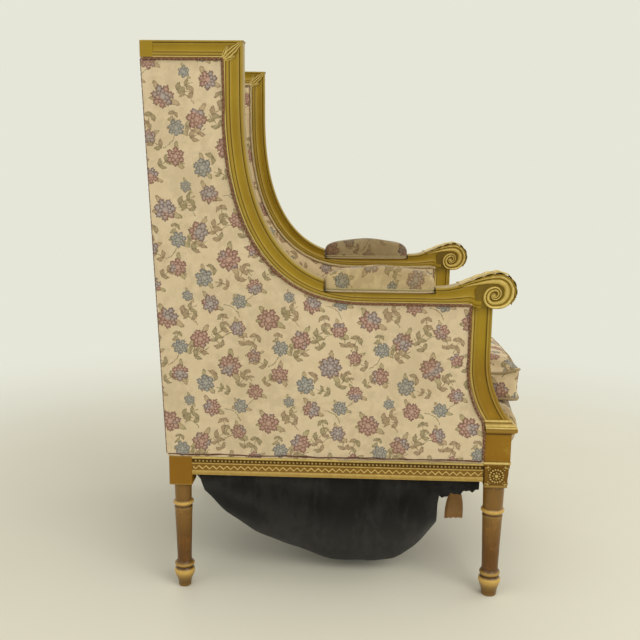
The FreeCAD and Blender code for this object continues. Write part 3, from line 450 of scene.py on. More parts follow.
def leaf_group():
    """A pointed leaf from the origin along x: its half width is a bent parabola, with a dark midrib."""
    inputs = [("Place", "vector"), ("Length", "value"), ("Width", "value")]
    tree, given, out = new_group("Leaf", inputs, [("Mask", "value"), ("Tone", "value")])
    axes = [axis(tree, given["Place"], number) for number in (0, 1)]
    share = calc(tree, "DIVIDE", axes[0], given["Length"])
    arch = times(tree, times(tree, share, calc(tree, "SUBTRACT", 1.0, share)), 4.0)
    arch = times(tree, calc(tree, "MAXIMUM", arch, 0.0), fused(tree, share, -0.5, 1.2))
    width = times(tree, given["Width"], arch)
    notch = times(tree, calc(tree, "SINE", times(tree, axes[0], 1.9)), 0.45)
    off = calc(tree, "ABSOLUTE", axes[1])
    inside = calc(tree, "ADD", calc(tree, "SUBTRACT", width, off), notch)
    mask = times(tree, calc(tree, "DIVIDE", inside, 0.5, clamp=True), calc(tree, "GREATER_THAN", arch, 0.02))
    rib = times(tree, calc(tree, "LESS_THAN", off, 0.45), -0.4)
    side_rib = calc(tree, "SINE", fused(tree, off, -1.9, times(tree, axes[0], 1.6)))
    body = fused(tree, calc(tree, "DIVIDE", inside, given["Width"], clamp=True), 0.7, 0.3)
    tone = calc(tree, "ADD", fused(tree, side_rib, 0.16, body), rib, clamp=True)
    tree.links.new(mask, out["Mask"])
    tree.links.new(tone, out["Tone"])
    return tree


def sprig_group(leaf):
    """A stalk along x with two pairs of leaves: the place is folded over the stalk and repeated along it."""
    inputs = [("Place", "vector"), ("Length", "value")]
    tree, given, out = new_group("Sprig", inputs, [("Mask", "value"), ("Tone", "value"), ("Stalk", "value")])
    axes = [axis(tree, given["Place"], number) for number in (0, 1)]
    bow = times(tree, calc(tree, "SINE", times(tree, axes[0], 0.16)), 0.9)
    level = calc(tree, "ADD", axes[1], bow)
    fold = calc(tree, "ABSOLUTE", level)
    share = calc(tree, "DIVIDE", axes[0], given["Length"])
    on_stalk = calc(tree, "COMPARE", share, 0.5, 0.5)
    along = times(tree, calc(tree, "FRACT", times(tree, share, 2.0)), given["Length"])
    base = put(tree, "ShaderNodeCombineXYZ", {0: times(tree, along, 0.5), 1: fold}).outputs[0]
    turned = put(tree, "ShaderNodeVectorRotate", {"Vector": base, "Angle": -0.78},
                 rotation_type="Z_AXIS").outputs[0]
    long = times(tree, given["Length"], fused(tree, share, -0.12, 0.56))
    one = use(tree, leaf, Place=turned, Length=long, Width=times(tree, long, 0.26))
    slim = calc(tree, "LESS_THAN", fold, 0.75)
    tree.links.new(times(tree, one["Mask"], on_stalk), out["Mask"])
    tree.links.new(one["Tone"], out["Tone"])
    tree.links.new(times(tree, on_stalk, slim), out["Stalk"])
    return tree


def stem_group():
    """A thin arc: the part of a circle round the place's origin between its x axis and an angle."""
    inputs = [("Place", "vector"), ("Radius", "value"), ("Sweep", "value")]
    tree, given, out = new_group("Stem", inputs, [("Mask", "value")])
    axes = [axis(tree, given["Place"], number) for number in (0, 1)]
    reach = vector_calc(tree, "LENGTH", given["Place"], output="Value")
    angle = calc(tree, "ARCTAN2", axes[1], axes[0])
    off = calc(tree, "ABSOLUTE", calc(tree, "SUBTRACT", reach, given["Radius"]))
    slim = calc(tree, "LESS_THAN", off, 0.8)
    begun = calc(tree, "GREATER_THAN", angle, 0.0)
    inside = times(tree, begun, calc(tree, "LESS_THAN", angle, given["Sweep"]))
    tree.links.new(times(tree, slim, inside), out["Mask"])
    return tree


# The repeat of the floral cloth, in millimetres, drawn for this chair
repeat = (195.0, 207.0)
roses = [
    (40, 152, 22, 7, 0.2), (103, 112, 20, 6, 0.9), (160, 60, 23, 8, 0.0), (62, 44, 18, 6, 0.5),
    (124, 182, 18, 7, 1.1), (14, 8, 16, 7, 0.3), (176, 134, 16, 6, 0.0), (12, 80, 14, 5, 0.4),
]
blues = [(64, 96, 16, 7, 0.2), (112, 24, 18, 6, 0.7), (180, 186, 15, 7, 0.0), (80, 196, 11, 6, 0.5)]
sprigs = [
    (66, 164, 34, 0.4), (20, 122, 34, 4.2), (130, 120, 36, 0.6), (144, 96, 32, 2.2), (90, 78, 34, 0.5),
    (134, 44, 34, 3.7), (36, 60, 32, 2.6), (146, 162, 30, 4.9), (98, 158, 32, 3.0), (188, 100, 30, 1.7),
    (176, 20, 34, 1.0), (30, 26, 30, 0.6), (160, 8, 28, 2.8), (62, 126, 26, 4.4), (84, 100, 28, 5.6),
    (190, 52, 26, 5.2),
]
stems = [
    (70, 128, 30, 0.4, 1.3), (130, 84, 34, 1.8, 1.2), (30, 90, 32, 5.0, 1.3), (168, 100, 26, 1.0, 1.6),
    (48, 18, 30, 0.2, 1.2), (140, 196, 26, 3.6, 1.4), (96, 60, 34, 2.9, 1.3), (150, 150, 30, 0.2, 1.4),
    (24, 172, 30, 1.7, 1.2),
]


def floral_group(thread):
    """The tapestry's drawing: every motif adds to its kind's mask and tone, which pick the colours."""
    tree, given, out = new_group("Floral drawing", [("Cloth", "vector")], [("Colour", "colour")])
    scaled = vector_calc(tree, "SCALE", given["Cloth"], Scale=1000.0)
    steps = vector_calc(tree, "SNAP", scaled, [thread, thread, 1.0])
    ragged = put(tree, "ShaderNodeTexNoise",
                 {"Vector": steps, "Scale": 0.16, "Detail": 3.0, "Roughness": 0.6}).outputs["Color"]
    centred = vector_calc(tree, "SUBTRACT", ragged, [0.5, 0.5, 0.5])
    steps = vector_calc(tree, "MULTIPLY_ADD", centred, [7.0, 7.0, 0.0], steps)
    place = local_group(repeat)
    blossom = blossom_group()
    leaf = leaf_group()
    sprig = sprig_group(leaf)
    stem = stem_group()

    def seen_from(x, y, turn):
        return use(tree, place, Cloth=steps, Centre=(x, y, 0.0), Turn=-turn)["Place"]

    def gather(flowers):
        mask, tone, leaves = 0.0, 0.0, 0.0
        for x, y, size, petals, turn in flowers:
            one = use(tree, blossom, Place=seen_from(x, y, turn), Radius=float(size), Petals=float(petals))
            mask = calc(tree, "MAXIMUM", mask, one["Mask"])
            tone = calc(tree, "MAXIMUM", tone, times(tree, one["Mask"], one["Tone"]))
            leaves = calc(tree, "MAXIMUM", leaves, one["Leaves"])
        return mask, tone, leaves

    rose_mask, rose_tone, rose_leaves = gather(roses)
    blue_mask, blue_tone, blue_leaves = gather(blues)
    leaf_tone = calc(tree, "MAXIMUM", rose_leaves, blue_leaves)
    leaf_mask, line_mask = calc(tree, "GREATER_THAN", leaf_tone, 0.2), 0.0
    for x, y, size, turn in sprigs:
        one = use(tree, sprig, Place=seen_from(x, y, turn), Length=float(size))
        leaf_mask = calc(tree, "MAXIMUM", leaf_mask, one["Mask"])
        leaf_tone = calc(tree, "MAXIMUM", leaf_tone, times(tree, one["Mask"], one["Tone"]))
        line_mask = calc(tree, "MAXIMUM", line_mask, one["Stalk"])
    for x, y, radius, turn, sweep in stems:
        one = use(tree, stem, Place=seen_from(x, y, turn), Radius=float(radius), Sweep=sweep)
        line_mask = calc(tree, "MAXIMUM", line_mask, one["Mask"])
    mottle = noise(tree, scaled, 0.045, 2.0)
    fine = noise(tree, scaled, 0.9, 2.0, 0.7)
    ground = blend(tree, mottle, paint(228, 208, 168), paint(244, 226, 194))
    ground = blend(tree, times(tree, fine, 0.16), ground, paint(182, 162, 122))
    hue = noise(tree, scaled, 0.02, 1.0)
    colour = blend(tree, times(tree, line_mask, 0.75), ground, paint(128, 112, 74))
    leaf_tone = fused(tree, calc(tree, "SUBTRACT", fine, 0.5), 0.5, leaf_tone)
    green = ramp(tree, leaf_tone, [(0.15, paint(104, 90, 60)), (0.5, paint(148, 134, 98)),
                                   (0.9, paint(190, 176, 134))])
    brown = ramp(tree, leaf_tone, [(0.15, paint(110, 82, 64)), (0.5, paint(160, 134, 104)),
                                   (0.9, paint(200, 176, 140))])
    colour = blend(tree, times(tree, leaf_mask, 0.92), colour,
                   blend(tree, span(tree, hue, 0.42, 0.6), green, brown))
    blue_tone = fused(tree, calc(tree, "SUBTRACT", fine, 0.5), 0.6, blue_tone)
    blue = ramp(tree, blue_tone, [(0.14, paint(84, 84, 86)), (0.45, paint(126, 130, 134)),
                                  (0.9, paint(182, 180, 170))])
    colour = blend(tree, times(tree, blue_mask, 0.92), colour, blue)
    rose_tone = fused(tree, calc(tree, "SUBTRACT", fine, 0.5), 0.6, rose_tone)
    stops = [(0.14, paint(98, 64, 60)), (0.32, paint(136, 94, 86)), (0.62, paint(172, 128, 116)),
             (0.95, paint(206, 172, 156))]
    rose = ramp(tree, rose_tone, stops)
    stops = [(0.14, paint(94, 72, 72)), (0.4, paint(132, 116, 118)), (0.95, paint(184, 184, 182))]
    rose = blend(tree, times(tree, span(tree, hue, 0.5, 0.58), 0.8), rose, ramp(tree, rose_tone, stops))
    colour = blend(tree, times(tree, rose_mask, 0.94), colour, rose)
    tree.links.new(colour, out["Colour"])
    return tree


def wear_group():
    """Patchy wear: large and small noise multiplied and set against a level."""
    inputs = [("Place", "vector"), ("Size", "value"), ("Level", "value")]
    tree, given, out = new_group("Wear", inputs, [("Patch", "value"), ("Fine", "value")])
    large = noise(tree, given["Place"], given["Size"], 5.0, 0.62)
    small = noise(tree, given["Place"], times(tree, given["Size"], 9.0), 3.0, 0.6)
    mixed = fused(tree, small, 0.35, times(tree, large, 0.75))
    high = calc(tree, "ADD", given["Level"], 0.12)
    tree.links.new(span(tree, mixed, given["Level"], high), out["Patch"])
    tree.links.new(small, out["Fine"])
    return tree


weave = weave_group()
floral = floral_group(0.9)
wear = wear_group()


# Finishes

def object_place(tree):
    """The place on the chair, in metres."""
    return put(tree, "ShaderNodeTexCoord").outputs["Object"]


def cloth_place(tree):
    """The place on the cloth as it was cut, in metres."""
    return put(tree, "ShaderNodeUVMap", uv_map="cloth").outputs[0]


def painted_wood():
    """Olive-gold paint, browner low down, with rubbed gilding on edges, and painted shade with some dirt in
    the grooves.
    """
    finish, tree, shader = new_finish("painted_wood")
    place = object_place(tree)
    height = axis(tree, place, 2)
    drift = noise(tree, place, 9.0, 4.0)
    streak_place = put(tree, "ShaderNodeMapping", {"Vector": place, "Scale": (40.0, 40.0, 7.0)}).outputs[0]
    streak = noise(tree, streak_place, 1.0, 4.0, 0.7)
    upper = blend(tree, drift, paint(134, 104, 8), paint(172, 144, 28))
    lower = blend(tree, drift, paint(120, 78, 4), paint(158, 112, 12))
    browning = fused(tree, drift, 0.18, height)
    colour = blend(tree, span(tree, browning, 0.36, 0.66), lower, upper)
    colour = blend(tree, times(tree, streak, 0.35), colour, paint(118, 88, 10))
    scuff = use(tree, wear, Place=place, Size=14.0, Level=0.62)
    colour = blend(tree, times(tree, scuff["Patch"], 0.25), colour, paint(184, 156, 66))
    rubbed = put(tree, "ShaderNodeAttribute", attribute_name="gild").outputs["Fac"]
    dirt_and_shade = put(tree, "ShaderNodeAttribute", attribute_name="grime_and_shade").outputs["Fac"]
    shine = times(tree, rubbed, fused(tree, scuff["Fine"], 0.9, 0.45), clamp=True)
    colour = blend(tree, shine, colour, paint(220, 196, 118))
    # Painted shade, with some dirt, in grooves, hollows and undersides
    dark = times(tree, dirt_and_shade, fused(tree, streak, 0.5, 0.6), clamp=True)
    colour = blend(tree, dark, colour, paint(58, 38, 8))
    tree.links.new(colour, shader.inputs["Base Color"])
    gloss = fused(tree, scuff["Fine"], 0.25, 0.3)
    tree.links.new(fused(tree, dirt_and_shade, 0.3, gloss), shader.inputs["Roughness"])
    shader.inputs["Metallic"].default_value = 0.15
    shader.inputs["Specular IOR Level"].default_value = 0.3
    bump(tree, shader, fused(tree, streak, 0.5, scuff["Fine"]), 0.0006, 0.5)
    return finish


def turned_wood():
    """The legs: brown gloss over worn gold, darker streaks down the shaft, pale gilt rings."""
    finish, tree, shader = new_finish("turned_wood")
    place = object_place(tree)
    streak_place = put(tree, "ShaderNodeMapping", {"Vector": place, "Scale": (60.0, 60.0, 5.0)}).outputs[0]
    streak = noise(tree, streak_place, 1.0, 4.0, 0.7)
    drift = noise(tree, place, 22.0, 4.0)
    colour = blend(tree, drift, paint(86, 50, 2), paint(128, 84, 8))
    colour = blend(tree, times(tree, streak, 0.5), colour, paint(84, 52, 12))
    scuff = use(tree, wear, Place=place, Size=30.0, Level=0.58)
    colour = blend(tree, times(tree, scuff["Patch"], 0.4), colour, paint(158, 106, 36))
    rubbed = put(tree, "ShaderNodeAttribute", attribute_name="gild").outputs["Fac"]
    dirt_and_shade = put(tree, "ShaderNodeAttribute", attribute_name="grime_and_shade").outputs["Fac"]
    shine = times(tree, rubbed, fused(tree, scuff["Fine"], 0.8, 0.55), clamp=True)
    colour = blend(tree, shine, colour, paint(204, 166, 84))
    # Painted shade, with some dirt, in the leg's hollows and flutes
    dark = times(tree, dirt_and_shade, fused(tree, streak, 0.4, 0.6), clamp=True)
    colour = blend(tree, dark, colour, paint(58, 32, 12))
    tree.links.new(colour, shader.inputs["Base Color"])
    tree.links.new(fused(tree, scuff["Fine"], 0.25, 0.22), shader.inputs["Roughness"])
    shader.inputs["Coat Weight"].default_value = 0.12
    shader.inputs["Specular IOR Level"].default_value = 0.35
    bump(tree, shader, fused(tree, scuff["Patch"], 0.6, scuff["Fine"]), 0.0007, 0.5)
    return finish


def tapestry(name, tint, tint_share, dirt, thread=0.0011):
    """Woven floral cloth: the shared drawing, a tint over it, patchy soiling and the threads' relief."""
    finish, tree, shader = new_finish(name)
    cloth = cloth_place(tree)
    drawn = use(tree, floral, Cloth=cloth)
    threads = use(tree, weave, Cloth=cloth, Thread=thread)
    soil = use(tree, wear, Place=cloth, Size=7.0, Level=0.5)
    colour = blend(tree, tint_share, drawn["Colour"], tint, "MULTIPLY")
    colour = blend(tree, times(tree, soil["Patch"], dirt), colour, paint(150, 128, 88))
    shade = times(tree, calc(tree, "SUBTRACT", 1.0, threads["Height"]), 0.22)
    colour = blend(tree, shade, colour, paint(88, 74, 50))
    tree.links.new(colour, shader.inputs["Base Color"])
    shader.inputs["Roughness"].default_value = 0.85
    shader.inputs["Sheen Weight"].default_value = 0.12
    shader.inputs["Specular IOR Level"].default_value = 0.2
    bump(tree, shader, threads["Height"], 0.0006, 0.7)
    return finish


def braid(name, colour_a, colour_b, pitch):
    """Twisted yarn: two colours wound along the strand by its length and its angle; the darker lies in the
    twist's hollows, where the bump is low, and so is partly painted shade.
    """
    finish, tree, shader = new_finish(name)
    cloth = cloth_place(tree)
    axes = [axis(tree, cloth, number) for number in (0, 1)]
    wind = fused(tree, axes[0], 2 * math.pi / pitch, times(tree, axes[1], 500.0))
    twist = fused(tree, calc(tree, "SINE", wind), 0.5, 0.5)
    fuzz = noise(tree, object_place(tree), 900.0, 2.0)
    # Paler on the twist's crowns, darker in its hollows: partly painted shade
    share = fused(tree, fuzz, 0.5, times(tree, twist, 0.6), clamp=True)
    tree.links.new(blend(tree, share, colour_a, colour_b), shader.inputs["Base Color"])
    shader.inputs["Roughness"].default_value = 0.8
    shader.inputs["Sheen Weight"].default_value = 0.15
    bump(tree, shader, twist, 0.0004, 0.8)
    return finish


def plain_weave(name, light, dark, thread, roughness=0.9, stripes=0.0):
    """An open, plain cloth of one yarn with uneven threads, and stripes along its length where wanted."""
    finish, tree, shader = new_finish(name)
    cloth = cloth_place(tree)
    threads = use(tree, weave, Cloth=cloth, Thread=thread)
    age = use(tree, wear, Place=cloth, Size=9.0, Level=0.52)
    # Paler on the threads' crowns and darker between them: painted shade, besides the yarn's unevenness
    colour = blend(tree, fused(tree, age["Fine"], 0.6, times(tree, threads["Height"], 0.4)), dark, light)
    colour = blend(tree, times(tree, age["Patch"], 0.35), colour, dark)
    if stripes:
        across = axis(tree, cloth, 0)
        band = calc(tree, "SINE", times(tree, across, 2 * math.pi / stripes))
        colour = blend(tree, times(tree, calc(tree, "GREATER_THAN", band, 0.9), 0.6), colour, dark)
    tree.links.new(colour, shader.inputs["Base Color"])
    shader.inputs["Roughness"].default_value = roughness
    shader.inputs["Specular IOR Level"].default_value = 0.2
    bump(tree, shader, threads["Height"], thread * 0.4, 0.8)
    return finish


def object_weave(name, light, dark, thread):
    """The same plain cloth on a piece of the frame, read from its place on the chair."""
    finish, tree, shader = new_finish(name)
    place = object_place(tree)
    threads = use(tree, weave, Cloth=place, Thread=thread)
    age = use(tree, wear, Place=place, Size=9.0, Level=0.52)
    # Paler on the threads' crowns and darker between them: painted shade, besides the yarn's unevenness
    share = fused(tree, age["Fine"], 0.6, times(tree, threads["Height"], 0.4))
    colour = blend(tree, share, dark, light)
    tree.links.new(colour, shader.inputs["Base Color"])
    shader.inputs["Roughness"].default_value = 0.9
    bump(tree, shader, threads["Height"], thread * 0.4, 0.8)
    return finish


def bare_wood():
    """Sawn beech: long grain along the chair's width and depth, short flecks."""
    finish, tree, shader = new_finish("bare_wood")
    place = object_place(tree)
    stretched = put(tree, "ShaderNodeMapping", {"Vector": place, "Scale": (6.0, 6.0, 90.0)}).outputs[0]
    grain = noise(tree, stretched, 3.0, 5.0, 0.65)
    fleck = noise(tree, place, 260.0, 2.0)
    colour = blend(tree, grain, paint(150, 112, 70), paint(196, 160, 112))
    colour = blend(tree, times(tree, span(tree, fleck, 0.6, 0.75), 0.5), colour, paint(112, 76, 44))
    tree.links.new(colour, shader.inputs["Base Color"])
    shader.inputs["Roughness"].default_value = 0.7
    bump(tree, shader, grain, 0.0005, 0.5)
    return finish


def steel(name, tone, rust):
    """Drawn steel with a little rust."""
    finish, tree, shader = new_finish(name)
    marks = use(tree, wear, Place=object_place(tree), Size=40.0, Level=0.55)
    colour = blend(tree, times(tree, marks["Patch"], rust), tone, paint(112, 66, 36))
    tree.links.new(colour, shader.inputs["Base Color"])
    tree.links.new(fused(tree, marks["Patch"], 0.3, 0.35), shader.inputs["Roughness"])
    tree.links.new(calc(tree, "SUBTRACT", 0.9, times(tree, marks["Patch"], rust)), shader.inputs["Metallic"])
    bump(tree, shader, marks["Fine"], 0.0003, 0.4)
    return finish


def cambric():
    """Thin black cambric: dusty in patches, paler low down as painted light on its hanging belly and darker
    near the rails as painted shade, with a fine weave.
    """
    finish, tree, shader = new_finish("black_cambric")
    cloth = cloth_place(tree)
    threads = use(tree, weave, Cloth=cloth, Thread=0.0012)
    dust = use(tree, wear, Place=cloth, Size=6.0, Level=0.5)
    # Paler low down: painted light on the belly, painted shade near the rails
    low = span(tree, axis(tree, object_place(tree), 2), 0.2, 0.07)
    dust_and_belly_light = fused(tree, dust["Patch"], 0.35, times(tree, low, 0.6))
    colour = blend(tree, dust_and_belly_light, paint(5, 5, 5), paint(52, 50, 47))
    colour = blend(tree, times(tree, dust["Fine"], 0.08), colour, paint(78, 74, 68))
    tree.links.new(colour, shader.inputs["Base Color"])
    shader.inputs["Roughness"].default_value = 0.9
    shader.inputs["Sheen Weight"].default_value = 0.1
    shader.inputs["Specular IOR Level"].default_value = 0.2
    bump(tree, shader, threads["Height"], 0.0004, 0.5)
    return finish


paint_finish = painted_wood()
leg_finish = turned_wood()
cover_finish = tapestry("floral_cover", paint(255, 250, 238), 0.4, 0.16)
cushion_finish = tapestry("floral_cushion", paint(255, 246, 222), 0.5, 0.12)
inside_finish = tapestry("floral_inside", paint(250, 240, 216), 0.5, 0.15)
pad_finish = tapestry("worn_pad_cover", paint(216, 206, 172), 0.75, 0.4)
# The far (left) pad's copy: more soiled, and darker as painted shade
soiled_shaded_finish = tapestry("soiled_shaded_pad_cover", paint(176, 170, 146), 0.9, 0.6)
welt_finish = plain_weave("welt_cord", paint(196, 176, 136), paint(132, 108, 76), 0.0009)
frayed_finish = plain_weave("frayed_edge", paint(224, 206, 168), paint(150, 124, 84), 0.0010)
wine_strand = braid("wine_yarn", paint(52, 22, 8), paint(112, 60, 30), 0.006)
fleck_strand = braid("fleck_yarn", paint(96, 52, 26), paint(196, 152, 100), 0.019)
cream_strand = braid("cream_yarn", paint(224, 206, 166), paint(150, 118, 78), 0.006)
olive_strand = braid("olive_yarn", paint(128, 116, 72), paint(186, 172, 120), 0.006)
webbing_finish = plain_weave("jute_band", paint(196, 152, 98), paint(126, 90, 48), 0.0022, stripes=0.036)
cambric_finish = cambric()
deck_finish = plain_weave("deck_calico", paint(206, 190, 158), paint(160, 140, 106), 0.0014)
def finish_nodes(finish, *names):
    """Give its finish to each CAD node that stays as it is."""
    for name in names:
        node = frame["nodes"][name]
        node.data.materials.clear()
        node.data.materials.append(finish)


finish_nodes(bare_wood(), "back_stay_rail", "side_stay_rail_left", "side_stay_rail_right", "corner_blocks",
             "frame_dowels")
finish_nodes(object_weave("jute_webbing", paint(160, 118, 68), paint(104, 72, 36), 0.0022),
             "seat_webbing", "back_webbing", "side_webbing_left", "side_webbing_right")
finish_nodes(object_weave("hessian", paint(176, 150, 104), paint(118, 94, 58), 0.0020), "spring_burlap")
finish_nodes(steel("spring_wire", paint(74, 70, 66), 0.7), "seat_springs")
finish_nodes(steel("screw", paint(140, 136, 128), 0.4), "corner_block_screws")


# The moulded side member: one moulding runs round the wing, the elbow and the arm

# Moulding of a face: (across from the cloth's side to the open side, depth below the face, gilding, grime
# with painted shade in the deep quirks)
moulding = np.array([
    (0.000, 1.6, 0.2, 0.2), (0.012, 0.4, 0.8, 0.0), (0.055, 0.0, 0.75, 0.0), (0.085, 0.3, 0.2, 0.2),
    (0.100, 1.7, 0.0, 1.0), (0.120, 0.3, 0.1, 0.3), (0.200, 0.0, 0.12, 0.0), (0.278, 0.4, 0.1, 0.2),
    (0.300, 2.0, 0.0, 1.0), (0.322, 0.8, 0.1, 0.3), (0.350, 1.2, 0.15, 0.0), (0.430, 2.1, 0.0, 0.0),
    (0.540, 2.6, 0.0, 0.0), (0.650, 2.4, 0.0, 0.0), (0.750, 1.5, 0.05, 0.0), (0.805, 0.6, 0.15, 0.0),
    (0.832, 0.5, 0.1, 0.3), (0.850, 2.2, 0.0, 1.0), (0.872, 0.6, 0.0, 0.35), (0.930, 0.0, 0.05, 0.0),
    (0.975, 0.3, 0.15, 0.1), (1.000, 1.5, 0.1, 0.2),
])
ring_across = np.concatenate([moulding[:, 0], [1.012, 1.016, 1.012], moulding[::-1, 0]])
ring_inward = np.concatenate([moulding[:, 1], [6.0, 20.0, 34.0], member_thickness - moulding[::-1, 1]])
ring_gild = np.concatenate([moulding[:, 2], [0.05, 0.0, 0.05], moulding[::-1, 2]])
ring_grime_and_shade = np.concatenate([moulding[:, 3], [0.0, 0.0, 0.0], moulding[::-1, 3]])


def member_height(across, back):
    """Height of the member's nested superellipses at a distance forward, level past their centre."""
    reach = sweep_back - stile_back - across * stile_width
    drop = sweep_height - arm_underside - across * arm_thickness
    share = np.clip((sweep_back - back) / reach, 0, 1)
    return sweep_height - drop * (1 - share ** sweep_power) ** (1 / sweep_power)


def member_turn(across, turn):
    """The same curves by turn: 0 upright at the wing, a quarter turn at the arm."""
    reach = sweep_back - stile_back - across * stile_width
    drop = sweep_height - arm_underside - across * arm_thickness
    back = sweep_back - reach * np.cos(turn) ** (2 / sweep_power)
    return back, sweep_height - drop * np.sin(turn) ** (2 / sweep_power)


def wing_stile(hand):
    """The stile: straight rows down from the mitre, then rows of equal turn down to the elbow joint."""
    form = Form()
    across = ring_across[None, :]
    reach = sweep_back - stile_back - across * stile_width
    last_turn = np.arccos(((sweep_back - elbow_back) / reach) ** (sweep_power / 2))
    mitre_slope = top_rail_height * stile_width / (mitre_front - stile_back)
    top = overall_height - top_rail_height + across * mitre_slope
    down = np.linspace(0, 1, 9)[:, None]
    straight = spread(stile_back + across * stile_width, ring_inward[None], top + (sweep_height - top) * down)
    turn = (np.linspace(0, 1, 60)[1:, None] ** 1.4) * last_turn
    back, height = member_turn(across, turn)
    curved = spread(back, ring_inward[None], height)
    form.grid(np.concatenate([straight, curved]), ring_gild[None], ring_grime_and_shade[None], ring=True, ends=True)
    obj = form.piece("wing_stile_moulded", paint_finish, hand)
    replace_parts(obj, "wing_stile_" + hand)


def carved_leaf(form, root, tip, width, face, height, ribs=5, out=-1.0):
    """A ribbed leaf on a face: a lobed sine for its width, relief that falls to its edge, fanned ribs."""
    root, tip = np.array(root, float), np.array(tip, float)
    along = np.linspace(0, 1, 25)[:, None]
    off = np.linspace(-1, 1, 17)[None, :]
    ahead = (tip - root)
    side = np.array([-ahead[1], ahead[0]]) / np.linalg.norm(ahead)
    swell = np.sin(np.pi * along ** 0.8) ** 0.7 * (0.85 + 0.15 * np.abs(np.sin(4 * np.pi * along)))
    centre = root[None, None] + ahead[None, None] * along[..., None]
    flat = centre + side[None, None] * (width / 2 * swell * off)[..., None]
    fan = np.cos(ribs * np.pi * off * 0.9)
    lengthwise = np.sin(np.pi * np.clip(along * 0.9 + 0.08, 0, 1)) ** 0.5
    relief = height * (1 - off ** 2) ** 0.6 * (0.72 + 0.28 * fan) * lengthwise
    inward = np.broadcast_to(face + 0.6 + out * (relief + 0.3), relief.shape)
    points = np.stack([flat[..., 0], inward, flat[..., 1]], -1)
    gild = np.clip(0.35 + 0.6 * fan, 0, 1) * (1 - off ** 4)
    # Painted shade between the ribs
    grime_and_shade = np.clip(0.1 - 0.9 * fan, 0, 0.8)
    form.grid(points, gild, grime_and_shade)


def wing_top_rail(hand):
    """Top rail: the moulding run level from a plain rear block to the mitre, with a leaf over the mitre."""
    form = Form()
    base = overall_height - top_rail_height
    across = ring_across[None, :]
    end = stile_back + across * (mitre_front - stile_back)
    start = 23.0
    rows = np.linspace(0, 1, 5)[:, None]
    back = start + (end - start) * rows
    height = np.minimum(base + across * top_rail_height, overall_height)
    form.grid(spread(back, ring_inward[None], height), ring_gild[None], ring_grime_and_shade[None], ring=True,
              ends=True)
    soft_box(form, 0.0, start + 0.5, 0.0, member_thickness, base, overall_height, 0.8, 0.25)
    for face, out in ((0.0, -1.0), (member_thickness, 1.0)):
        carved_leaf(form, (150, 1044), (188, 1078), 20, face - out * 0.6, 2.6, 4, out)
        carved_leaf(form, (150, 1046), (176, 1052), 11, face - out * 0.6, 2.0, 3, out)
        carved_leaf(form, (152, 1044), (162, 1072), 11, face - out * 0.6, 2.0, 3, out)
    obj = form.piece("wing_top_rail_moulded", paint_finish, hand)
    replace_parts(obj, "wing_top_rail_" + hand)


# Arm: the scroll's outer edge is a chain of half circles

arm_rise = 29.0
arm_rise_start = 562.0
arm_rise_end = 676.0
arm_front = 640.0
scroll_centre = (670.5, 627.5)
scroll_lead_start = 596.0
# Half turns of the spiral: centre, radius, start and sweep in degrees, number of points
scroll_turns = [
    (scroll_centre, 33.5, 90, -180, 40),
    ((664.5, 615.8), 21.8, -90, -180, 32),
    ((664.5, 624.4), 13.2, 90, -180, 22),
    ((664.5, 618.2), 7.0, -90, -150, 12),
]
scroll_eye = (662.6, 618.6)
eye_radius = 6.4
band_base = 4.4
band_swell = 4.3
band_second_swell = 3.4
lobe_count = 8


def half_circle(centre, radius, start, sweep, steps):
    """Points on a circle from a start angle through a sweep, in degrees."""
    angle = np.radians(np.linspace(start, start + sweep, steps))
    return spread(centre[0] + radius * np.cos(angle), centre[1] + radius * np.sin(angle))


def arm_top_line(back):
    """The arm's top in front of its pad: level, then a hollow rise to the scroll."""
    return arm_underside + arm_thickness + arm_rise * ease(back, arm_rise_start, arm_rise_end)


def scroll_edge():
    """The spiral's outer edge: along the arm's top, round the front and in to the eye."""
    lead = np.linspace(scroll_lead_start, scroll_centre[0], 26)[:-1]
    turns = [half_circle(*turn)[:-1] for turn in scroll_turns[:-1]]
    return np.concatenate([spread(lead, arm_top_line(lead))] + turns + [half_circle(*scroll_turns[-1])])


def arm_body(form):
    """The arm's moulded length: rows of equal steps forward, level under the pad, opening out in front."""
    across = ring_across[None, :]
    rear = np.linspace(elbow_back, pad_rear, 3)
    seat = np.linspace(pad_rear, pad_front, 48)
    front = np.linspace(pad_front, arm_front, 26)
    back = np.concatenate([rear, seat, front])[:, None]
    seated = np.concatenate([np.zeros(3), np.ones(48), np.zeros(26)])[:, None] > 0
    rise = arm_top_line(back) - arm_underside - arm_thickness
    dip = -9.0 * ease(back, 614.0, 634.0)
    height = member_height(across, back) + rise * across + dip * (1 - across)
    height = np.where(seated & (height > pad_seat), pad_seat, height)
    fade = 1 - ease(back, 600.0, 626.0)
    middle = member_thickness / 2
    inward = middle + (ring_inward[None] - middle) * (1 - 0.2 * (1 - fade))
    points = spread(back, inward, height)
    form.grid(points, ring_gild[None] * fade, ring_grime_and_shade[None] * (0.3 + 0.7 * fade), ring=True, ends=True)


def scroll_core(form):
    """The solid heart between the volutes: one outline, drawn in to its middle at both faces."""
    body = half_circle(scroll_centre, 31.5, 100, -200, 40)
    low = np.array([(650.0, 596.6), (634.0, 596.6), (628.0, 604.0), (626.0, 630.0), (640.0, 648.0)])
    outline = np.concatenate([body, low])
    centre = np.array([665.0, 625.0])
    # Layers: depth, pull to the middle, and painted shade on the face sunk behind the volutes
    layers = [
        (4.2, 0.02, 0.7), (4.2, 0.6, 0.7), (4.2, 0.97, 0.6), (6.0, 1.0, 0.0),
        (34.0, 1.0, 0.0), (35.8, 0.97, 0.6), (35.8, 0.6, 0.7), (35.8, 0.02, 0.7),
    ]
    rows = []
    for depth, pull, _ in layers:
        ring = centre + (outline - centre) * pull
        rows.append(np.column_stack([ring[:, 0], np.full(len(ring), depth), ring[:, 1]]))
    grime_and_shade = np.array([dark for _, _, dark in layers])[:, None]
    form.grid(np.array(rows), 0.0, grime_and_shade, ring=True, ends=True)


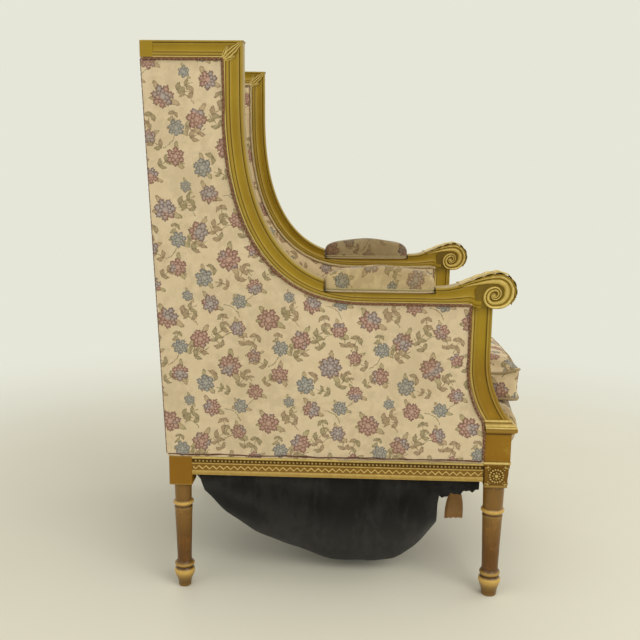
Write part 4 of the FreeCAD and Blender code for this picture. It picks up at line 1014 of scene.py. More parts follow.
def volute(form, edge, inner_side, share):
    """A band of two rolls wound along the spiral on each face, with a button in its eye."""
    width = np.interp(share, [0, 0.12, 0.26, 0.44, 0.6, 0.75, 0.9, 1],
                      [5.0, 13.0, 22.0, 23.0, 15.5, 12.5, 8.0, 5.0])
    across = np.linspace(0, 1, 17)
    swell = np.abs(np.sin(np.pi * np.clip(across / 0.4, 0, 1))) ** 0.6 * band_swell
    swell += np.abs(np.sin(np.pi * np.clip((across - 0.42) / 0.56, 0, 1))) ** 0.7 * band_second_swell
    groove = np.exp(-((across - 0.41) / 0.035) ** 2) + np.exp(-((across - 1.0) / 0.05) ** 2)
    flat = edge[:, None] + inner_side[:, None] * (width[:, None] * across[None])[..., None]
    gild = np.clip(0.95 * (swell / band_swell) ** 1.6 - groove * 0.6, 0, 1)[None]
    # Painted shade in the band's grooves
    grime_and_shade = np.clip(groove, 0, 1)[None] * 0.75
    rise = np.linspace(0, 1, 6)[:, None]
    turn = np.linspace(0, 2 * np.pi, 20, endpoint=False)[None]
    reach = eye_radius * rise
    for face, out in ((0.0, 1.0), (member_thickness, -1.0)):
        form.grid(spread(flat[..., 0], face + out * (band_base - swell), flat[..., 1]), gild, grime_and_shade)
        dome = face + out * (band_base - 4.6 * np.cos(rise * np.pi / 2))
        button = spread(scroll_eye[0] + reach * np.cos(turn), dome, scroll_eye[1] + reach * np.sin(turn))
        # Painted shade at the button's rim, where it meets the band
        form.grid(button, 0.5, rise * 0.5, ring=True)


def scroll_rim(form, edge, inner_side, share):
    """The scroll's back: lobes that beat along it, reeds across it, and a scalloped lip on each face."""
    grow = (share / share[-1])[:, None]
    beat = np.abs(np.sin(np.pi * lobe_count * grow ** 1.2)) ** 0.7
    tips = np.sin(np.pi * np.clip(grow * 1.02, 0, 1)) ** 0.4
    reach = (1.6 + 1.8 * beat) * tips
    steps = np.linspace(0, 1, 15)[None, :]
    ribs = np.cos(4 * np.pi * steps)
    arch = 1.1 + 0.5 * np.sin(np.pi * steps) ** 2 + 0.22 * ribs
    flat = edge[:, None] - inner_side[:, None] * (reach * arch - 1.0)[..., None]
    inward = member_thickness / 2 + (steps - 0.5) * (member_thickness + 1.0)
    gild = np.clip(0.35 + 0.3 * ribs + 0.2 * beat, 0, 1)
    # Painted shade between the lobes and the reeds
    grime_and_shade = np.clip(0.4 - 0.9 * beat, 0, 0.4) + np.clip(-0.2 * ribs, 0, 0.2)
    form.grid(spread(flat[..., 0], inward, flat[..., 1]), gild, grime_and_shade)
    lip = np.array([-1.0, 0.3, 1.6])[None] + (beat - 0.5) * 2.2
    fringe = edge[:, None] + inner_side[:, None] * lip[..., None]
    for face, out in ((0.0, -1.0), (member_thickness, 1.0)):
        level = face + out * np.array([0.6, -0.5, 1.6])
        # Painted shade between the lip's scallops
        form.grid(spread(fringe[..., 0], level, fringe[..., 1]), 0.15, np.clip(0.5 - beat, 0, 1))


def arm_rail(hand):
    """The arm from the elbow to the scroll, with a volute on each face."""
    form = Form()
    arm_body(form)
    scroll_core(form)
    edge = scroll_edge()
    ahead = np.gradient(edge, axis=0)
    ahead /= np.linalg.norm(ahead, axis=1)[:, None]
    inner_side = spread(ahead[:, 1], -ahead[:, 0])
    length = path_length(edge)
    share = length / length[-1]
    volute(form, edge, inner_side, share)
    rim = length < length[-1] * 0.5
    scroll_rim(form, edge[rim], inner_side[rim], share[rim])
    obj = form.piece("arm_rail_moulded", paint_finish, hand)
    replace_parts(obj, "arm_rail_" + hand)


# Arm support and its cap

# Columns as in the side moulding: across, depth, gilding, grime with painted shade in the quirks
support_moulding = np.array([
    (0.000, 1.4, 0.2, 0.3), (0.030, 0.2, 0.5, 0.0), (0.080, 0.0, 0.55, 0.0), (0.120, 0.4, 0.2, 0.1),
    (0.140, 1.6, 0.0, 0.9), (0.165, 0.8, 0.15, 0.2), (0.220, 0.9, 0.05, 0.0), (0.300, 1.5, 0.0, 0.1),
    (0.400, 2.2, 0.0, 0.0), (0.520, 2.6, 0.0, 0.0), (0.660, 2.2, 0.0, 0.0), (0.720, 1.2, 0.0, 0.2),
    (0.755, 2.2, 0.0, 1.0), (0.785, 0.5, 0.2, 0.1), (0.850, 0.2, 0.1, 0.0), (0.885, 0.8, 0.0, 0.5),
    (0.915, 0.3, 0.1, 0.1), (0.970, 0.1, 0.1, 0.0), (1.000, 1.4, 0.0, 0.3),
])


def support_edges(height):
    """Rear and front face of the curved post: upright, then arcs that sweep forward to the foot."""
    def arc(upright, foot, radius):
        start = support_foot + math.sqrt(radius ** 2 - (radius - foot + upright) ** 2)
        below = np.clip(start - height, 0, None)
        return upright + radius - np.sqrt(radius ** 2 - below ** 2)
    return arc(support_back, 655.0, 185.0), arc(support_front, 703.0, 220.0)


def arm_support(hand):
    """The curved post under the arm, with its moulding all round, on a stepped cap."""
    form = Form()
    thickness = 42.0
    across = np.concatenate([support_moulding[:, 0], [1.012, 1.012], support_moulding[::-1, 0],
                             [-0.01, -0.01]])[None]
    far = thickness - support_moulding[::-1, 1]
    inward = np.concatenate([support_moulding[:, 1], [8, thickness - 8], far, [thickness - 8, 8]])[None] + 3.0
    gild = np.concatenate([support_moulding[:, 2], [0, 0], support_moulding[::-1, 2], [0, 0]])[None]
    grime_and_shade = np.concatenate([support_moulding[:, 3], [0, 0], support_moulding[::-1, 3], [0, 0]])[None]
    height = np.concatenate([np.linspace(374.0, 470.0, 30), np.linspace(474.0, 598.0, 14)])[:, None]
    rear, front = support_edges(height)
    points = spread(rear + (front - rear) * across, inward, height)
    shade = ease(height, 582.0, 596.0)
    form.grid(points, gild * (1 - shade), np.clip(grime_and_shade + shade * 0.6, 0, 1), ring=True, ends=True)
    b0, b1 = block_back, block_back + block_size
    t0, t1 = 0.5, 51.5
    # Cap levels; the last column is painted shade under the cap and between its steps
    levels = [
        (347.0, b0, b1, t0, t1, 0.0, 0.9), (348.0, b0, b1 + 1, t0 - 0.5, t1 + 0.5, 0.0, 0.9),
        (350.0, b0, b1 + 5, t0 - 1.5, t1 + 1.5, 0.0, 0.5), (351.2, b0, b1 + 9, t0 - 3, t1 + 3, 0.1, 0.1),
        (353.0, b0, b1 + 10.6, t0 - 4, t1 + 4, 0.1, 0.0), (357.5, b0, b1 + 11, t0 - 4, t1 + 4, 0.1, 0.2),
        (358.6, b0, b1 + 10, t0 - 3.4, t1 + 3.4, 0.0, 0.8),
        (359.6, b0, b1 + 10.6, t0 - 3.8, t1 + 3.8, 0.9, 0.0),
        (361.6, b0 - 0.5, b1 + 10, t0 - 3.4, t1 + 3.4, 0.9, 0.0),
        (362.6, b0 - 0.7, b1 + 7.4, t0 - 1.8, t1 + 1.8, 0.3, 0.5),
        (364.2, b0 - 0.9, b1 + 7.2, t0 - 1.8, t1 + 1.8, 0.8, 0.0),
        (366.0, b0 - 1.4, b1 + 5.0, t0 - 0.8, t1 + 0.8, 0.6, 0.1),
        (369.0, b0 - 2.4, b1 + 0.5, t0 + 0.8, t1 - 0.8, 0.2, 0.3),
        (371.0, b0 - 2.8, b1 - 1.0, t0 + 1.2, t1 - 1.2, 0.1, 0.8),
        (372.4, b0 - 3.2, b1 - 1.6, t0 + 1.0, t1 - 1.0, 0.8, 0.0),
        (374.6, b0 - 3.6, b1 - 2.0, t0 + 1.0, t1 - 1.0, 0.8, 0.0),
        (376.0, b0 - 4.0, b1 - 4.0, t0 + 2, t1 - 2, 0.3, 0.3),
    ]
    stack_block(form, levels, 1.0)
    obj = form.piece("arm_support_moulded", paint_finish, hand)
    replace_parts(obj, "arm_support_" + hand)


# Legs

flute_count = 16
flute_depth = 0.4
flute_low, flute_high = 60, 170


def turned(form, centre, profile):
    """Rows of (height, radius, gild, grime and painted shade) turned about an axis, with flutes that fade at
    both ends.
    """
    profile = np.array(profile)
    spans = zip(profile[:-1, 0], profile[1:, 0])
    heights = np.concatenate([np.linspace(a, b, 4, endpoint=False) for a, b in spans] + [profile[-1:, 0]])
    place = np.linspace(0, len(profile) - 1, len(heights))
    index = np.arange(len(profile))
    radius, gild, grime_and_shade = (np.interp(place, index, profile[:, column]) for column in (1, 2, 3))
    smooth = np.convolve(np.pad(radius, 1, mode="edge"), [0.25, 0.5, 0.25], "valid")
    turn = np.linspace(0, 2 * np.pi, 72, endpoint=False)[None]
    on_shaft = ease(heights, flute_low, flute_low + 8) * (1 - ease(heights, flute_high - 8, flute_high))
    hollow = np.abs(np.sin(flute_count * turn / 2)) * flute_depth * on_shaft[:, None]
    reach = smooth[:, None] - hollow
    points = spread(centre[0] + reach * np.cos(turn), centre[1] + reach * np.sin(turn), heights[:, None])
    # The flutes' hollows get a little more painted shade
    form.grid(points, gild[:, None], np.clip(grime_and_shade[:, None] + hollow * 0.2, 0, 1), ring=True, ends=True)


def leg_profile(neck, ring, upper, lower, collar, bulb, foot, top):
    """Heights, radii and gilding of a turned leg: foot, bulb, collar, tapering shaft, ring and neck."""
    # The last column: painted shade in the hollows beside the bulb, collar and ring, and dirt on the worn
    # foot
    return [
        (0.0, foot - 1.0, 0.0, 0.5), (1.0, foot, 0.3, 0.2), (8.0, foot + 0.6, 0.2, 0.5),
        (15.0, foot + 2.2, 0.3, 0.4), (22.0, bulb - 3.2, 0.4, 0.1), (29.0, bulb - 0.4, 0.8, 0.0),
        (33.0, bulb, 1.0, 0.0), (37.0, bulb - 0.8, 1.0, 0.0), (40.5, bulb - 4.0, 0.1, 0.8),
        (42.5, lower + 1.5, 0.0, 1.0), (44.5, lower + 2.4, 0.3, 0.3), (46.5, collar - 0.6, 0.6, 0.0),
        (48.5, collar, 0.6, 0.0), (51.0, collar - 0.8, 0.5, 0.1), (53.5, lower + 1.8, 0.2, 0.7),
        (56.0, lower + 0.4, 0.0, 0.6), (60.0, lower, 0.0, 0.2),
        (100.0, lower + (upper - lower) * 0.36, 0.0, 0.0),
        (140.0, lower + (upper - lower) * 0.74, 0.1, 0.0), (168.0, upper, 0.2, 0.1),
        (172.0, upper + 0.6, 0.4, 0.2), (175.0, upper - 0.6, 0.0, 0.9), (177.5, neck - 1.0, 0.4, 0.4),
        (180.5, ring - 0.6, 1.0, 0.0), (183.0, ring, 1.0, 0.0), (185.5, ring - 0.8, 0.9, 0.0),
        (188.0, neck - 1.4, 0.3, 0.6), (191.0, neck - 1.0, 0.15, 0.1), (212.0, neck - 0.4, 0.15, 0.0),
        (228.0, neck, 0.15, 0.0), (top - 3.0, neck + 0.4, 0.1, 0.3), (top, neck + 1.6, 0.3, 0.5),
    ]


def bead(form, centre, radius, face, gild=0.7, squash=0.6):
    """A low half ball of few faces that stands out from the side or the front of the frame."""
    rise = np.linspace(0, np.pi / 2, 4)[:, None]
    turn = np.linspace(0, 2 * np.pi, 8, endpoint=False)[None]
    out = radius * squash * np.sin(rise)
    wide = radius * np.cos(rise)
    one, two = wide * np.cos(turn), wide * np.sin(turn)
    if face == "side":
        points = spread(centre[0] + one, centre[1] - out, centre[2] + two)
    else:
        points = spread(centre[0] + out, centre[1] + one, centre[2] + two)
    # Painted shade at the bead's foot
    form.grid(points, gild * np.sin(rise), (1 - np.sin(rise)) * 0.6, ring=True)


def rosette(form, face, across_middle, height):
    """The block's carved square: two rings of beads round a button, and a sprig in each corner."""
    def spot(one, two, radius, gild=0.7, squash=0.6):
        lean = (die_top - (height + two)) * die_taper / (die_top - die_bottom)
        if face == "side":
            place = (across_middle + one, 0.5 + lean + 0.2, height + two)
        else:
            place = (block_back + block_size - lean - 0.2, across_middle + one, height + two)
        bead(form, place, radius, face, gild, squash)

    spot(0, 0, 4.6, 0.8, 0.8)
    rings = ((8, 7.0, 2.4, 0.0, 0.6, 0.9), (16, 13.2, 2.5, 0.5, 0.75, 0.8))
    for count, reach, radius, start, gild, squash in rings:
        for step in range(count):
            angle = (step + start) * 2 * np.pi / count
            spot(reach * math.cos(angle), reach * math.sin(angle), radius, gild, squash)
    sprig = ((17.5, 2.6, 1.0, 1.0), (14.6, 1.8, 1.08, 0.86), (19.6, 1.9, 1.08, 0.86))
    for sign_a in (-1, 1):
        for sign_b in (-1, 1):
            for reach, radius, long, short in sprig:
                spot(sign_a * reach * long, sign_b * reach * short, radius, 0.7)
                spot(sign_a * reach * 0.86, sign_b * reach * 1.04, 1.5, 0.6)


def front_leg(hand):
    """A turned front leg under its block, with rosettes on the faces that show."""
    form = Form()
    b0, b1 = block_back, block_back + block_size
    t0, t1 = 0.5, 0.5 + block_size
    middle, inner = (b0 + b1) / 2, (t0 + t1) / 2
    body = Form()
    turned(body, (middle, inner), leg_profile(21.0, 23.5, 20.0, 16.5, 21.0, 22.5, 15.0, die_bottom + 1))
    obj = body.piece("front_leg_turned", leg_finish, hand)
    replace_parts(obj, "front_leg_" + hand)
    # The last column darkens the block's underside and quirks as painted shade
    levels = [
        (236.0, b0 + 5, b1 - 5, t0 + 5, t1 - 5, 0.0, 0.8),
        (236.6, b0 + 3.4, b1 - 3.4, t0 + 3.4, t1 - 3.4, 0.3, 0.4),
        (240.0, b0 + 2.8, b1 - 2.8, t0 + 2.8, t1 - 2.8, 0.3, 0.0),
        (241.5, b0 + 3.6, b1 - 3.6, t0 + 3.6, t1 - 3.6, 0.0, 0.5),
        (282.0, b0 + 1.2, b1 - 1.2, t0 + 1.2, t1 - 1.2, 0.0, 0.4), (283.5, b0, b1, t0, t1, 0.1, 0.2),
        (285.6, b0, b1, t0, t1, 0.0, 0.5), (286.6, b0, b1 + 1.5, t0 - 1.5, t1, 0.95, 0.0),
        (290.0, b0, b1 + 1.5, t0 - 1.5, t1, 0.95, 0.0), (291.0, b0, b1, t0, t1, 0.1, 0.6),
        (293.5, b0, b1, t0, t1, 0.0, 0.0), (344.0, b0, b1, t0, t1, 0.0, 0.0),
        (347.0, b0, b1, t0, t1, 0.0, 0.5),
    ]
    stack_block(form, levels, 0.9)
    centre = (die_top + die_bottom) / 2 + 0.5
    rosette(form, "side", middle, centre)
    rosette(form, "front", inner, centre)
    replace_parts(form.piece("front_leg_block", paint_finish, hand), "front_leg_" + hand)


def back_post(hand):
    """A rear leg, its block and the hidden upright of the back, as one timber."""
    b0, t0, size = 36.0, 3.0, 46.0
    middle, inner = b0 + size / 2, t0 + size / 2
    body = Form()
    turned(body, (middle, inner), leg_profile(17.5, 21.0, 18.0, 14.5, 20.5, 21.0, 12.5, 227.0))
    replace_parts(body.piece("back_leg_turned", leg_finish, hand), "back_post_" + hand)
    form = Form()
    soft_box(form, b0, b0 + size, t0, t0 + size, 226.0, 287.0, 1.0, 0.3)
    soft_box(form, b0 + 7, b0 + size, t0 + 7, t0 + size, 287.2, 340.0, 1.0, 0.0)
    rear = rear_line(np.array([320.0, 1050.0])) + 5.6
    ring = np.array([(0.0, 6.5), (34.0, 6.5), (34.0, 39.0), (0.0, 39.0)])
    rows = [np.column_stack([ring[:, 0] + back, ring[:, 1], np.full(4, height)]) for back,
            height in zip(rear, (320.0, 1050.0))]
    form.grid(np.array(rows), ring=True, ends=True)
    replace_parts(form.piece("back_post_block", paint_finish, hand), "back_post_" + hand)


# Seat rails: one carved section, with a row of pearls and a zigzag ribbon

# Columns: inward, up, gilding, grime with painted shade in the groove behind the pearls and in the quirks
rail_section = np.array([
    (27.0, 248.0, 0, 0), (27.0, 330.0, 0, 0), (6.2, 330.0, 0, 0), (6.0, 288.4, 0, 0.6),
    (1.6, 287.2, 0.4, 0.3), (0.6, 286.8, 0.6, 0.0), (0.0, 285.8, 0.9, 0), (0.0, 282.6, 0.8, 0),
    (0.7, 281.6, 0.4, 0.2), (2.6, 280.6, 0, 0.8), (3.0, 279.6, 0, 0.9), (3.0, 274.6, 0, 0.9),
    (2.4, 273.6, 0, 0.7), (0.7, 272.8, 0.5, 0.0), (0.5, 271.0, 0.5, 0.0), (1.4, 270.0, 0.1, 0.4),
    (1.6, 268.6, 0.1, 0.35), (1.6, 259.0, 0.1, 0.35), (1.3, 258.0, 0.1, 0.4), (0.2, 257.0, 0.6, 0),
    (0.0, 255.8, 0.5, 0), (0.0, 250.5, 0.3, 0), (0.5, 248.6, 0.6, 0.1), (2.0, 248.0, 0.1, 0.4),
])
pearl_pitch = 7.5
zigzag_pitch = 14.0


def carved_rail(form, length, place, carved=True):
    """The rail's section carried along a line of the chair; place gives a point from (along, inward, up)."""
    rows = np.linspace(0, length, max(2, int(length / 12)))[:, None]
    points = place(rows, rail_section[None, :, 0], rail_section[None, :, 1])
    form.grid(points, rail_section[None, :, 2], rail_section[None, :, 3], ring=True, ends=True)
    if not carved:
        return
    rise = np.linspace(0, np.pi / 2, 4)[:, None]
    turn = np.linspace(0, 2 * np.pi, 8, endpoint=False)[None]

    def pearl(along, up, radius, depth, height, gild, grime_and_shade):
        one = along + radius * np.cos(rise) * np.cos(turn)
        two = up + radius * np.cos(rise) * np.sin(turn)
        form.grid(place(one, depth - height * np.sin(rise), two), gild, grime_and_shade, ring=True)

    # Pearls: painted shade at their feet
    for along in np.arange(pearl_pitch, length - 4, pearl_pitch):
        pearl(along, 277.0, 2.9, 3.0, 2.7, 0.7 * np.sin(rise) ** 2, 0.7 * np.cos(rise))
    along = np.arange(2.0, length - 2, 1.0)[:, None]
    swing = np.abs(((along / zigzag_pitch) % 1) * 2 - 1)
    off = np.linspace(-1, 1, 5)[None]
    ribbon = place(along, 1.6 - 1.5 * np.cos(off * np.pi / 2), 260.6 + 6.6 * swing + off * 1.7)
    form.grid(ribbon, 0.95 * np.cos(off * 1.3), 0.0)
    for start in np.arange(zigzag_pitch / 2, length - 8, zigzag_pitch):
        for up, back in ((266.6, 0.0), (260.4, zigzag_pitch / 2)):
            pearl(start + back + zigzag_pitch / 2, up, 1.5, 1.6, 1.2, 0.7 * np.sin(rise), 0.0)


def side_seat_rail(hand):
    """The carved rail between the leg blocks of one side."""
    form = Form()
    start = 82.0

    def place(along, inward, up):
        return spread(start + along, rail_inset + inward, up)

    carved_rail(form, block_back - start, place)
    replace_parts(form.piece("side_seat_rail_carved", paint_finish, hand),
                "side_seat_rail_" + hand)


def front_seat_rail():
    """Bowed forward across the seat: the same section turned about a far axis."""
    form = Form()
    reach = half_width(front_rail_face) - block_size - 1.2
    radius = (reach ** 2 + front_bow ** 2) / (2 * front_bow)

    def place(along, inward, up):
        across = along - reach
        drop = radius - np.sqrt(radius ** 2 - across ** 2)
        return spread(across, front_rail_face + front_bow - drop - inward, up)

    carved_rail(form, 2 * reach, place)
    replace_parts(form.piece("front_seat_rail_carved", paint_finish), "front_seat_rail")


def rear_seat_rail():
    """The rail between the rear blocks."""
    form = Form()
    reach = half_width(39.0) - 49.2

    def place(along, inward, up):
        return spread(along - reach, 39.0 + inward, up)

    carved_rail(form, 2 * reach, place, carved=False)
    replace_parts(form.piece("rear_seat_rail_moulded", paint_finish), "rear_seat_rail")


def crest_rail():
    """Straight crest between the wings with the moulding on its rear face."""
    form = Form()
    # Section: back, height, gilding, grime with painted shade in the quirks
    section = np.array([
        (0.6, 1050.0, 0.4, 0), (0.0, 1051.0, 0.6, 0), (0.0, 1053.5, 0.3, 0), (1.8, 1054.4, 0, 1),
        (2.6, 1058.0, 0, 0), (2.8, 1065.0, 0, 0), (2.2, 1073.0, 0, 0), (1.6, 1075.4, 0, 1),
        (0.0, 1076.4, 0.3, 0), (0.0, 1079.0, 0.6, 0), (1.0, 1080.0, 0.3, 0), (41.0, 1080.0, 0.0, 0),
        (42.2, 1079.0, 0.3, 0), (42.2, 1042.0, 0, 0), (9.0, 1040.5, 0, 0.5), (8.0, 1050.0, 0, 0.6),
    ])
    width = np.array([-1.0, -0.5, 0.0, 0.5, 1.0])[:, None]
    back = section[None, :, 0]
    reach = rear_half_width + back * math.tan(splay) - 40.1
    points = spread(width * reach, back, section[None, :, 1])
    form.grid(points, section[None, :, 2], section[None, :, 3], ring=True, ends=True)
    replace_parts(form.piece("crest_rail_moulded", paint_finish), "crest_rail")


# Covers

def opening_columns():
    """Columns over the side opening and the height of its upper edge: top rail, sweep, arm, support."""
    wing = np.linspace(0, stile_back, 30)
    turn = np.linspace(0, np.pi / 2, 46)[1:]
    sweep, sweep_top = member_turn(np.float64(-0.01), turn)
    arm = np.linspace(sweep_back, support_back - 0.4, 30)[1:]
    post_top = np.linspace(470.0, support_foot, 14)
    post, _ = support_edges(post_top)
    cap = np.array([655.6, 656.8, 658.6])
    cap_top = np.array([372.0, 364.0, 352.0])
    backs = np.concatenate([wing, sweep, arm, post - 0.4, cap])
    tops = np.concatenate([np.full(30, overall_height - top_rail_height - 0.4), sweep_top,
                           np.full(29, arm_underside - 0.4), post_top, cap_top])
    return backs, tops


def side_surface(rear_gap, bottom, front_limit=1000.0, rows=64):
    """Grid of forward and up values over the side opening, from a lower height to its upper edge."""
    backs, tops = opening_columns()
    keep = backs <= front_limit
    backs, tops = backs[keep], tops[keep]
    rise = np.linspace(0, 1, rows)[:, None]
    height = bottom + (tops[None] - bottom) * rise
    start = rear_line(height) + rear_gap
    on_wing = start + (stile_back - start) * backs[None] / stile_back
    return np.where(backs[None] < stile_back, on_wing, backs[None]), height


def edge_distance(back, height, bottom, rear_gap):
    """Rough distance in from the cover's outline, for pulling its edge down."""
    far_off = 200.0
    to_rear = back - rear_line(height) - rear_gap
    to_low = height - bottom
    inside = member_height(np.float64(0.0), np.clip(back, stile_back, None)) - height
    inside = np.where(back < stile_back, overall_height - top_rail_height - height, inside)
    fallen = np.clip((sweep_height - height) / (sweep_height - arm_underside), 0, 1)
    turned_in = (1 - fallen ** sweep_power) ** (1 / sweep_power)
    stile_line = stile_back + (sweep_back - stile_back) * (1 - turned_in)
    to_stile = np.where(height > 620, stile_line - back, far_off)
    rear, _ = support_edges(np.clip(height, support_foot, None))
    to_post = np.where(height < arm_underside, rear - back, far_off)
    return np.clip(np.minimum.reduce([to_rear, to_low, inside, to_stile, to_post]), 0, None)


def outside_side_cover(hand):
    """The tight outer cover: drawn in at its edges, slightly slack, and rippling along its raw foot."""
    form = Form()
    back, height = side_surface(0.0, 287.6)
    inside = edge_distance(back, height, 287.6, 0.0)
    swell = 2.2 * ease(inside, 0, 60) + 0.5 * np.sin(back / 61.0 + height / 47.0) * ease(inside, 20, 120)
    ripple = 0.8 * np.sin(back / 9.0 + 1.3 * np.sin(back / 31.0)) * (1 - ease(height, 288, 318))
    inward = 1.4 - swell * 0.9 - ripple * 0.5
    front = np.stack([back, inward, height], -1)
    cloth = np.stack([back, height], -1)
    thick_cover(form, front, front + np.array([0.0, 5.0, 0.0]), cloth)
    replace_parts(form.piece("outside_side_cover", cover_finish, hand, 60),
                "outside_side_panel_" + hand)


def inside_side_cover(hand):
    """Stuffed inner face of the wing and arm: it swells in from its tacked edge."""
    form = Form()
    bottom = deck_top + 0.4
    rear_gap = 41.0
    back, height = side_surface(rear_gap, bottom, support_back - 0.3, 60)
    inside = edge_distance(back, height, bottom - 40, rear_gap - 30)
    swell = 13.0 * np.sqrt(ease(inside, -2, 46)) + 2.5 * ease(inside, 30, 130)
    wrinkle = 0.5 * np.sin(back / 17.0 + height / 29.0) * ease(inside, 5, 40)
    front = np.stack([back, 37.0 + swell + wrinkle, height], -1)
    rear = np.stack([back, np.full_like(back, 35.0), height], -1)
    thick_cover(form, front, rear, np.stack([back + 60, height + 30], -1))
    obj = form.piece("inside_side_cover", inside_finish, hand, 60)
    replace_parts(obj, "inside_side_pad_" + hand)


def inside_back_cover():
    """Stuffed inside back: crowned across and up, its sides tucked between the wings."""
    form = Form()
    across = np.linspace(-1, 1, 70)[None]
    height = np.linspace(deck_top + 0.6, overall_height - 12, 90)[:, None]
    base = rear_line(height) + 42.5
    wide = half_width(base) - 51.0
    level = (height - deck_top) / (overall_height - 12 - deck_top)
    full = 0.72 + 0.28 * ease(level, 0.0, 0.1)
    full = full - 0.34 * ease(level, 0.55, 1.0)
    edge = 1 - np.abs(across)
    crown = 0.8 * np.sqrt(ease(edge, -0.02, 0.16)) + 0.2 * ease(edge, 0.0, 1.0)
    roll = np.sqrt(np.clip(1 - ease(level, 0.955, 1.0), 0, 1)) * 0.75 + 0.25
    front_line = base + 68.0 * full * crown * roll
    slack = 1.2 * np.sin(height / 37.0 + across * 3.0) * ease(edge, 0.05, 0.3)
    front = spread(across * wide, front_line + slack, height)
    rear = spread(across * wide, base, height)
    cloth = spread(across * wide + 300, height + 90)
    thick_cover(form, front, rear, cloth)
    obj = form.piece("inside_back_cover", inside_finish, None, 60)
    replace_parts(obj, "inside_back_pad")


def outside_back_cover():
    """The tight cover of the back's outside."""
    form = Form()
    across = np.linspace(-1, 1, 60)[None]
    height = np.linspace(288.0, overall_height - top_rail_height - 0.6, 80)[:, None]
    base = rear_line(height)
    wide = half_width(base) - 6.4
    inside = np.minimum((1 - np.abs(across)) * wide, np.minimum(height - 288, 1050 - height))
    swell = 1.8 * ease(inside, 0, 70) + 0.4 * np.sin(height / 43.0 + across * 4) * ease(inside, 20, 90)
    front = spread(across * wide, base + 0.8 - swell, height)
    cloth = spread(across * wide, height)
    thick_cover(form, front, front + np.array([0.0, 4.2, 0.0]), cloth)
    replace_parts(form.piece("outside_back_cover", cover_finish, None, 60),
                "outside_back_panel")


def front_edge_cover():
    """The stuffed front edge: it rolls forward over the rail, bows with it, and ripples along its lower
    front.
    """
    form = Form()
    inner = 56.6
    profile = np.array([
        (702.6, 289.5), (712.0, 296.0), (722.0, 310.0), (729.0, 328.0), (731.0, 345.0), (728.5, 362.0),
        (721.0, 378.0), (711.0, 388.0), (699.0, 392.6), (680.0, 393.8), (640.6, 393.9), (640.6, 376.0),
        (681.0, 338.5), (681.0, 331.0), (700.0, 330.6), (702.0, 310.0),
    ])
    reach = half_width(700.0) - inner
    across = np.linspace(-reach, reach, 90)[:, None]
    radius = (256.0 ** 2 + front_bow ** 2) / (2 * front_bow)
    bow = front_bow - (radius - np.sqrt(radius ** 2 - np.clip(np.abs(across), 0, 258) ** 2))
    bulge = 1.5 * np.sin(across / 23.0 + profile[None, :, 1] / 11.0)
    bulge = np.where((profile[None, :, 0] > 708) & (profile[None, :, 1] < 392), bulge, 0.0)
    points = spread(across, profile[None, :, 0] + bow + bulge, profile[None, :, 1])
    length = path_length(profile)
    form.grid(points, cloth=spread(across + 300, length[None]), ring=True, ends=True)
    obj = form.piece("front_edge_cover", inside_finish, None, 50)
    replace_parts(obj, "front_roll")


def deck_cover():
    """Calico over the stuffed deck, seen when the cushion is lifted off."""
    form = Form()
    back = np.linspace(66.0, 637.6, 60)[:, None]
    wide = half_width(back) - 42.4
    across = np.linspace(-1, 1, 50)[None]
    edge = np.minimum((1 - np.abs(across)) * wide, np.minimum(back - 66, 640 - back))
    top = deck_top - 5.0 * (1 - ease(edge, 0, 25)) - 0.5 + 0.3 * np.sin(back / 31.0) * np.sin(across * 9)
    upper = spread(across * wide, back, top)
    lower = spread(across * wide, back, np.full_like(top, 374.2))
    thick_cover(form, upper, lower, spread(across * wide, back))
    obj = form.piece("deck_cover", deck_finish, None, 50)
    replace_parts(obj, "seat_deck_pad")


# Braid along the covers' edges

def even_path(points, step):
    """A polyline cut into equal steps."""
    length = path_length(points)
    at = np.arange(0, length[-1], step)
    return np.stack([np.interp(at, length, points[:, axis]) for axis in range(points.shape[1])], -1), at


def braided(path, normal, width, radius, pitch, step):
    """Three strands round one path: each swings sideways and dips as a wave, a third of a turn apart."""
    route, at = even_path(path, step)
    ahead = np.gradient(route, axis=0)
    ahead /= np.linalg.norm(ahead, axis=1)[:, None]
    side = np.cross(ahead, normal)
    side /= np.linalg.norm(side, axis=1)[:, None]
    strands = []
    for strand in range(3):
        phase = 2 * np.pi * (at / pitch + strand / 3)
        lift = radius * 0.8 + radius * 0.8 * np.cos(2 * phase)
        strands.append(route + side * (width / 2 * np.sin(phase))[:, None] + np.array(normal) * lift[:, None])
    return strands


def gimp(name, path, normal, finishes, width, radius, pitch, hand=None, step=1.5, nodes=()):
    """A braid as one piece per yarn colour."""
    strands = braided(path, normal, width, radius, pitch, step)
    groups = {}
    for strand, finish in zip(strands, finishes):
        groups.setdefault(finish.name, (finish, []))[1].append(strand)
    for word, (finish, lines) in groups.items():
        form = Form()
        for strand in lines:
            form.tube(strand, radius, 5, up=normal)
        obj = form.piece(name + "_" + word, finish, hand, 80)
        if nodes:
            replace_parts(obj, *nodes)


def side_gimps(hand):
    """Wine and cream braid round the outside cover, and olive and cream braid round the inside one."""
    backs, tops = opening_columns()
    keep = (backs > 2) & (tops > 300)
    path = np.stack([backs[keep], np.zeros(keep.sum()), tops[keep]], -1)
    lift = np.where(backs[keep] < stile_back, 0.0, 1.0)
    outer = path + np.stack([-2.4 * lift, 0 * lift + 0.0, -2.4 + 0 * lift], -1)
    corner = np.array([[657.0, 0.0, 346.0], [657.0, 0.0, 292.0]])
    outer = np.concatenate([outer, corner])
    outer[:, 1] = 0.4
    gimp("side_gimp", outer, (0.0, -1.0, 0.0), (wine_strand, wine_strand, fleck_strand), 3.4, 1.25, 7.5,
         hand,
         nodes=("side_gimp_" + hand,))
    inner = path[(path[:, 0] > 50)] + np.array([0.0, 40.6, -1.5])
    gimp("inside_gimp", inner, (0.0, 1.0, 0.0), (cream_strand, olive_strand, cream_strand), 4.0, 1.3, 8.0,
         hand)


